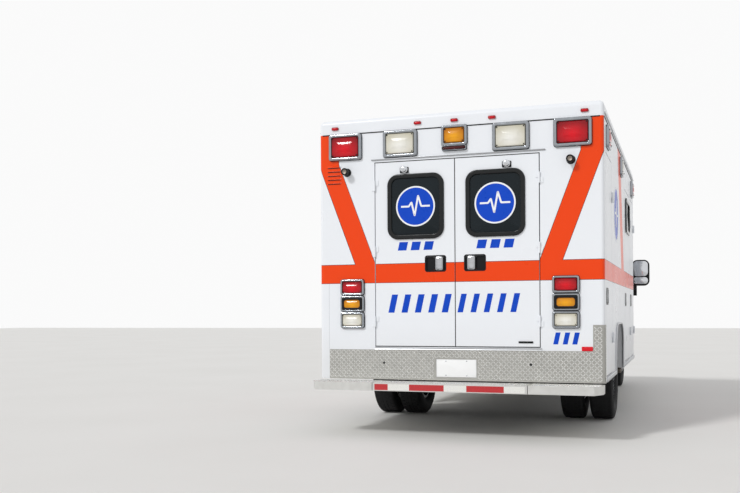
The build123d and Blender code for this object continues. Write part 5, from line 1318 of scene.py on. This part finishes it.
# %% Headlamps and grille
X_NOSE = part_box("front_bumper")[1].x
grille_low, grille_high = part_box("grille")
NOSE = facing("ahead", grille_high.x - 0.006)
BOWL_DEPTH, FINS = 0.055, 24
BULB = ((0, -0.020), (0.012, -0.024), (0.017, -0.036), (0.017, -0.058), (0, -0.058))
bowls, bulbs, covers, edges = [], [], [], []
for low, high in solid_boxes("headlamps"):
    middle, (wide, tall) = spread(low.yz, high.yz)
    deep = high.x - low.x
    bowl = slab((*middle, -deep), (wide, tall, deep - 0.004), 0.010)
    with editing(bowl):
        pick_front(above=-0.01)
        bpy.ops.mesh.inset(thickness=0.010)
        pull((0, 0, -BOWL_DEPTH))
        scale((0.62, 0.62, 1), (*middle, 0))
    bowls.append(bowl)
    bulbs.append(lathe(BULB, (*middle, 0), 20))
    covers.append(pillow((*middle, -0.0045), (wide - 0.012, tall - 0.012, 0.0042), 0.012, 0.0014))
    edges.append(hoop((*middle, -0.004), (wide - 0.002, tall - 0.002, 0.0060), 0.014, 0.007, 0.0018, 2))
finished("headlamp_bowls", bowls, chrome, NOSE, stands_for="headlamps")
finished("headlamp_bulbs", bulbs, clear_lens, NOSE)
finished("headlamp_covers", covers, cover_glass, NOSE)
finished("headlamp_bezels", edges, chrome, NOSE)
middle, (wide, tall) = spread(grille_low.yz, grille_high.yz)
heights = [grille_low.z + 0.036 + i * (tall - 0.072) / (FINS - 1) for i in range(FINS)]
core = [slab((0, middle[1], -0.062), (wide - 0.060, tall - 0.060, 0.006), 0.004)]
core += [slab((0, up, -0.0565), (wide - 0.070, 0.004, 0.003)) for up in heights]
finished("radiator_core", core, black_plastic, NOSE)
print("headlamps and grille done")

# %% [markdown]
# A rubber gasket runs round the windscreen, and two wipers lie along its foot. Both are bars bent in the
# plane of the glass, and each wiper has a turned pivot.

# %% Windscreen gasket and wipers
SCREEN_SLOPE = Vector((-0.570, 0, 0.795)).normalized()
BELT, SCREEN_FOOT, SCREEN_HEAD = 1.300, 0.049, 0.892
SCREEN = face_plane((X_NOSE - 0.950, 0, BELT), (0, 1, 0), (SCREEN_SLOPE.z, 0, -SCREEN_SLOPE.x))
PIVOT = ((0, 0.012), (0.012, 0.011), (0.015, 0.006), (0.015, 0.0), (0, 0))
ARM = ((0, 0.028, 0.006), (0.035, 0.040, 0.014), (0.400, 0.120, 0.010))
BLADE = ((0.120, 0.078, -0.003), (0.400, 0.113, 0.002), (0.610, 0.132, -0.003))
path = [
    (0.0, SCREEN_FOOT, 0.0), (0.897, SCREEN_FOOT, 0.0), (0.835, SCREEN_HEAD, -0.002),
    (-0.835, SCREEN_HEAD, -0.002), (-0.897, SCREEN_FOOT, 0.0), (0.001, SCREEN_FOOT, 0.0),
]
finished("windscreen_gasket", [rod(path, 0.009, 0.060, 2)], rubber, SCREEN)
wipers = []
for start in (-0.640, -0.020):
    arm, blade = [[(start + x, y, z) for x, y, z in line] for line in (ARM, BLADE)]
    wipers += [rod(arm, 0.0055, 0.010, 2), rod(blade, 0.0060, 0.05, 2), lathe(PIVOT, (start, 0.028, 0), 16)]
finished("wipers", wipers, black_plastic, SCREEN)
print("gasket and wipers done")

# %% [markdown]
# Mirrors get their glass in two panes, a flat one over a smaller one for the near ground. The doors have
# the same paddle handles, the wings an amber lamp each, and a rubber edge runs round each front arch.

# %% Mirrors, cab handles, marker lamps and arch edges
CAB_HALF, MIRROR_MIDDLE, MIRROR_FOOT = 1.007, 1.261, 1.370
EDGE_RADIUS, EDGE_STEPS = 0.425, 18
turn_low = math.asin((0.502 - axle_z) / EDGE_RADIUS)
turns = [turn_low + (math.pi - 2 * turn_low) * i / EDGE_STEPS for i in range(EDGE_STEPS + 1)]
for side, way in SIDES:
    body, plane = "cab_door_" + side, facing(side, 0, way * CAB_HALF)
    panes = [
        slab((-way * MIRROR_MIDDLE, MIRROR_FOOT + 0.226), (0.186, 0.200, 0.0015), 0.050, 0.0007),
        slab((-way * MIRROR_MIDDLE, MIRROR_FOOT + 0.068), (0.186, 0.088, 0.0022), 0.038, 0.0010),
    ]
    finished("mirror_glass_" + side, panes, chrome, facing("back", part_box("mirror_" + side)[0].x), body)
    paddle_handle(body + "_handle", plane, (-way * 1.370, BELT - 0.135), way, body)
    lamp = pillow((-way * 2.830, 0.960), (0.090, 0.036, 0.008), 0.010, 0.003)
    finished("cab_side_lamp_" + side, [lamp], amber_lens, plane)
    path = [(EDGE_RADIUS * math.cos(turn), EDGE_RADIUS * math.sin(turn)) for turn in turns]
    edge = rod([(x - way * FRONT_AXLE_X, z + axle_z, 0.0) for x, z in path], 0.005, 0.0, 2)
    finished("cab_arch_edge_" + side, [edge], rubber, plane)
print("mirrors, handles and arch edges done")

# %% [markdown]
# A wrap-round amber lamp closes each lower corner of the nose, just over the bumper's end, where the panel
# has a pocket for it. It is the same pillow form as the other lenses, in a thin black hoop, on the plane of
# the slanted side.

# %% Corner lamps
CORNER_AT, CORNER_RUN = Vector((3.138, 0.931, 0.684)), Vector((0.084, 0.032, 0)).normalized()
CORNER_WIDE, CORNER_HIGH = 0.118, 0.074
rings, covers = [], []
for _, way in SIDES:
    place, run = CORNER_AT * Vector((1, way, 1)), CORNER_RUN
    plane = face_plane(place, (-way * run.x, run.y, 0), (run.y, way * run.x, 0))
    rings.append(put(hoop((0, 0, -0.004), (CORNER_WIDE, CORNER_HIGH, 0.010), 0.016, 0.006, 0.002), plane))
    cover = pillow((0, 0, -0.004), (CORNER_WIDE - 0.010, CORNER_HIGH - 0.010, 0.013), 0.012, 0.005)
    covers.append(put(cover, plane))
finished("corner_lamp_rings", rings, black_plastic)
finished("corner_lamp_lenses", covers, amber_lens)
print("corner lamps over the bumper's ends")

# %% [markdown]
# ## Cushions
# Seats are foam under vinyl. Each cushion starts as a rounded slab a little smaller than the plain solid it
# stands for. It is remeshed evenly and blown up as cloth with its resting face held, which crowns the top
# and draws the corners in as a sewn cover does. How far a point may move is capped, so that the cushion
# stays in its place.

# %% Cushion tool
CLOTH_FRAMES, SEAM_REACH, SEAM_DEPTH = 20, 0.008, 0.005


def sew(piece, low, high, seams):
    """Draw the cover in along seams, each an axis and how far along the box it lies."""
    lines = [(axis, low[axis] + share * (high[axis] - low[axis])) for axis, share in seams]
    for vertex in piece.data.vertices:
        near = min(abs(vertex.co[axis] - level) for axis, level in lines)
        if near < SEAM_REACH:
            vertex.co -= vertex.normal * SEAM_DEPTH * (1 - (near / SEAM_REACH) ** 2)


def blow_up(piece, held_places, swell):
    """Blow a form up as cloth, with some of its points held, and cap how far each point moves."""
    before = [vertex.co.copy() for vertex in piece.data.vertices]
    held = piece.vertex_groups.new(name="held")
    held.add(held_places, 1.0, "REPLACE")
    cloth = piece.modifiers.new("cover", "CLOTH")
    cloth.settings.quality = 4
    cloth.settings.use_pressure = True
    cloth.settings.uniform_pressure_force = 4
    cloth.settings.effector_weights.gravity = 0
    cloth.settings.vertex_group_mass = "held"
    for frame in range(1, CLOTH_FRAMES + 1):
        bpy.context.scene.frame_set(frame)
    bpy.ops.object.modifier_apply(modifier=cloth.name)
    bpy.context.scene.frame_set(1)
    for vertex, old in zip(piece.data.vertices, before):
        moved = vertex.co - old
        if moved.length > swell:
            moved *= swell / moved.length
        vertex.co = old + moved
    piece.vertex_groups.clear()


def cushion(name, box, rests, corner, swell, voxel, material, node, seams):
    """A stuffed form in a box; rests gives the axis and the side (0 low, 1 high) that it is held on."""
    low, high = map(Vector, box)
    inner = [low.copy(), high.copy()]
    for axis in range(3):
        for side, inwards in ((0, 1), (1, -1)):
            if (axis, side) != rests:
                inner[side][axis] += inwards * swell * 0.9
    size, middle = inner[1] - inner[0], (inner[0] + inner[1]) / 2
    piece = begin(bpy.ops.mesh.primitive_cube_add, size=1, location=middle, scale=size)
    with editing(piece):
        bpy.ops.mesh.bevel(offset=corner, segments=5, affect="EDGES")
    only(piece)
    piece.data.remesh_voxel_size = voxel
    bpy.ops.object.voxel_remesh()
    axis, side = rests
    level = inner[side][axis]
    blow_up(piece, [v.index for v in piece.data.vertices if abs(v.co[axis] - level) < voxel * 1.2], swell)
    smooth = piece.modifiers.new("smooth", "SUBSURF")
    smooth.levels = smooth.render_levels = 1
    bpy.ops.object.modifier_apply(modifier=smooth.name)
    sew(piece, low, high, seams)
    finished(name, [piece], material, smooth=180, stands_for=node)


print("cushion tool ready")

# %% [markdown]
# A cab seat has a back that leans on its frame and a squab on a black box. Two seams run up the middle part
# and one across, where the cover is sewn to the foam.

# %% Cab seats
seat_boxes = sorted(solid_boxes("cab_seats"), key=lambda box: (box[0].y, box[0].x))
for low, high in seat_boxes:
    side = "right" if low.y < 0 else "left"
    if high.z - low.z > 0.6:
        box, seams = ((low.x, low.y, low.z + 0.02), high), ((1, 0.27), (1, 0.73), (2, 0.74))
        name = "cab_back_" + side
        cushion(name, box, (0, 0), 0.040, 0.016, 0.012, seat_vinyl, "cab_seats", seams)
    else:
        box, seams = ((low.x, low.y, low.z + 0.20), high), ((1, 0.27), (1, 0.73), (2, 0.62))
        name = "cab_squab_" + side
        base = slab((*spread(low, high)[0], low.z), (0.40, 0.42, 0.205), 0.02, 0.008)
        finished(name + "_base", [base], black_plastic, stands_for="cab_seats")
        cushion(name, box, (2, 0), 0.045, 0.016, 0.012, seat_vinyl, "cab_seats", seams)
print(len(seat_boxes), "cab cushions")

# %% [markdown]
# The bench is upholstered in three parts, with a hair's gap between them, because its lid opens in parts.
# The attendant's seat has a squab and a back. One seam runs round each, under the top panel.

# %% Bench and attendant's seat
TOP_SEAM, HALF_GAP = ((2, 0.70),), 0.0015
for low, high in solid_boxes("patient_seats"):
    size = high - low
    if size.x > 1:
        for i in range(3):
            start, end = low.x + i * size.x / 3 + HALF_GAP, low.x + (i + 1) * size.x / 3 - HALF_GAP
            part = ((start, low.y, low.z), (end, high.y, high.z))
            cushion(f"bench_cushion_{i + 1}", part, (2, 0), 0.022, 0.010, 0.010, cushion_vinyl,
                    "patient_seats", TOP_SEAM)
    else:
        name, rests = ("attendant_back", (0, 1)) if size.z > 0.5 else ("attendant_squab", (2, 0))
        cushion(name, (low, high), rests, 0.030, 0.012, 0.011, cushion_vinyl, "patient_seats", TOP_SEAM)
print("bench and attendant's seat done")

# %% [markdown]
# ## Inside the box
# When the doors stand open the room shows. A real one has washable linings on its doors, each with a
# pressed border, a red reflector for when the door stands open at night, and a bar to pull it by.

# %% Door linings
DOOR_THICK, LINING_THICK = 0.052, 0.004
GRIP_HALF, GRIP_OUT = 0.13, LINING_THICK + 0.032
REAR_INSIDE, SIDE_INSIDE = facing("ahead", X_FACE + DOOR_THICK), facing("left", y=DOOR_THICK - HALF)


def door_lining(name, plane, middle, size, grip_across, body):
    """A laminate panel with a pressed border, a red reflector at its foot and a bar to pull the door by."""
    x, y = middle
    panel = slab(middle, (*size, LINING_THICK), 0.060, 0.0015)
    with editing(panel):
        pick_front()
        bpy.ops.mesh.inset(thickness=0.030)
        bpy.ops.mesh.inset(thickness=0.006, depth=-0.002)
    finished(name, [panel], laminate, plane, body)
    mark = slab((x, y - size[1] / 2 + 0.085, 0.0025), (0.160, 0.050, 0.004), 0.006, 0.0015)
    finished(name + "_reflector", [mark], red_lens, plane, body)
    bends = ((-GRIP_HALF, 0.0), (-GRIP_HALF, GRIP_OUT), (GRIP_HALF, GRIP_OUT), (GRIP_HALF, 0.0))
    grip = rod([(grip_across, y + up, out) for up, out in bends], 0.009, 0.020)
    finished(name + "_grip", [grip], anodised, plane, body)


for side, way in SIDES:
    body = "rear_door_" + side
    door_lining("rear_lining_" + side, REAR_INSIDE, (way * 0.342, 1.205), (0.540, 0.780), way * 0.115, body)
    trim = hoop((way * WINDOW_MIDDLE, 1.939), (0.470, 0.530, 0.007), 0.080, 0.024, 0.002)
    finished("rear_window_trim_" + side, [trim], black_plastic, REAR_INSIDE, body)
low, high = in_plane(SIDE_INSIDE, *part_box("side_door"))
at, size = ((low.x + high.x) / 2, low.y + 0.520), (high.x - low.x - 0.14, 0.820)
door_lining("side_lining", SIDE_INSIDE, at, size, low.x + 0.17, "side_door")
print("linings on three doors, the side door's at", round(at[0], 3))

# %% [markdown]
# Supplies stand on open shelves behind clear panes that slide past each other in two tracks, so that they
# can be seen and reached. Each opening is edged with a hoop, and each pane has a small hoop as a finger
# pull.

# %% Shelves with sliding panes
CABINET_WALL, CUPBOARD_WALL = facing("right", y=0.699), facing("left", y=-0.839)
TRACK_DEPTH, PANE_THICK = 0.030, 0.004
# Face, start and end along it, bottom, top, and whether it has panes
SHELVES = (
    (CABINET_WALL, 0.150, 0.850, 1.680, 2.500, True),
    (CABINET_WALL, 0.950, 1.640, 1.750, 2.500, True),
    (CABINET_WALL, 1.680, 2.370, 1.750, 2.500, True),
    (CABINET_WALL, 2.450, 3.140, 1.430, 2.500, True),
    (CABINET_WALL, 0.950, 2.370, 1.120, 1.650, False),
    (CUPBOARD_WALL, -2.460, -0.780, 2.200, 2.570, True),
)
# Depth of a pane, and where along the opening its middle and its pull are
PANES = ((-0.024, 0.27, 0.06), (-0.012, 0.73, 0.94))
edges, tracks, panes = [], [], []
for plane, start, end, foot, head, closed in SHELVES:
    (x, y), (wide, tall) = spread((start, foot), (end, head))
    edges.append(put(hoop((x, y), (wide + 0.024, tall + 0.024, 0.003), 0.014, 0.014, 0.001, 1), plane))
    if not closed:
        continue
    for up in (foot + 0.006, head - 0.006):
        tracks.append(put(slab((x, up, -TRACK_DEPTH), (wide - 0.002, 0.012, TRACK_DEPTH - 0.002)), plane))
    for depth, share, pull_share in PANES:
        pane = slab((start + wide * share, y, depth), (wide * 0.52, tall - 0.016, PANE_THICK), 0.0, 0.001)
        panes.append(put(pane, plane))
        at = (start + wide * pull_share, y, depth + PANE_THICK)
        tracks.append(put(hoop(at, (0.030, 0.070, 0.003), 0.014, 0.006, 0.001, 1), plane))
finished("shelf_edges", edges, anodised)
finished("shelf_tracks", tracks, anodised)
finished("shelf_panes", panes, shelf_glass)
print(len(SHELVES), "shelves edged,", len(panes), "panes")

# %% [markdown]
# Lamps are let into the ceiling in two rows, each a lens in a brushed ring. Between them runs a rail to
# hold on to when the vehicle moves: a bar with its ends bent up, on two stays and four flanges.

# %% Ceiling lamps and grab rail
CEILING = facing("down", z=ROOF_TOP - 0.065)
RAIL_START, RAIL_END, STAYS, RAIL_DROP = 0.50, 3.70, (1.55, 2.60), 0.085
places = [(ahead, aside) for ahead in (0.70, 1.70, 2.70, 3.50) for aside in (-0.360, 0.360)]
rings = [hoop(place, (0.400, 0.150, 0.008), 0.030, 0.014, 0.003) for place in places]
covers = [pillow(place, (0.374, 0.124, 0.016), 0.018, 0.006) for place in places]
finished("ceiling_lamp_rings", rings, anodised, CEILING)
finished("ceiling_lamp_lenses", covers, clear_lens, CEILING)
path = ((RAIL_START, 0.0), (RAIL_START, RAIL_DROP), (RAIL_END, RAIL_DROP), (RAIL_END, 0.0))
rail = [rod([(x, 0, depth) for x, depth in path], 0.016, 0.045)]
rail += [rod([(x, 0, 0.0), (x, 0, RAIL_DROP)], 0.010) for x in STAYS]
rail += [slab((x, 0), (0.070, 0.070, 0.006), 0.020, 0.002) for x in (RAIL_START, *STAYS, RAIL_END)]
finished("grab_rail", rail, anodised, CEILING)
print("ceiling lamps:", len(places))

# %% [markdown]
# A bright strip covers the floor's edge under the rear doors, where shoes and the cot's wheels wear it, and
# a rubber strip lies along the front bumper. Both are slabs with a rounded rim.

# %% Threshold and front bumper strip
edge = slab((0, 0.080), (1.300, 0.045, 0.003), 0.004, 0.001)
finished("rear_threshold", [edge], anodised, facing("up", z=0.750))
strip = slab((0, 0.540, -0.001), (1.640, 0.062, 0.0016), 0.004, 0.0004)
finished("bumper_strip", [strip], rubber, facing("ahead", X_NOSE))
print("threshold and bumper strip")

# %% [markdown]
# ## Sizes
# The frame's box and the dressed model's box are gathered side by side. The dressed model has to
# stay within the frame's box.

# %% Finish
size = {"cad": [list(map(float, corner)) for corner in cad_box]}
size["visual"] = [list(map(float, corner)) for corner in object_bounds()]
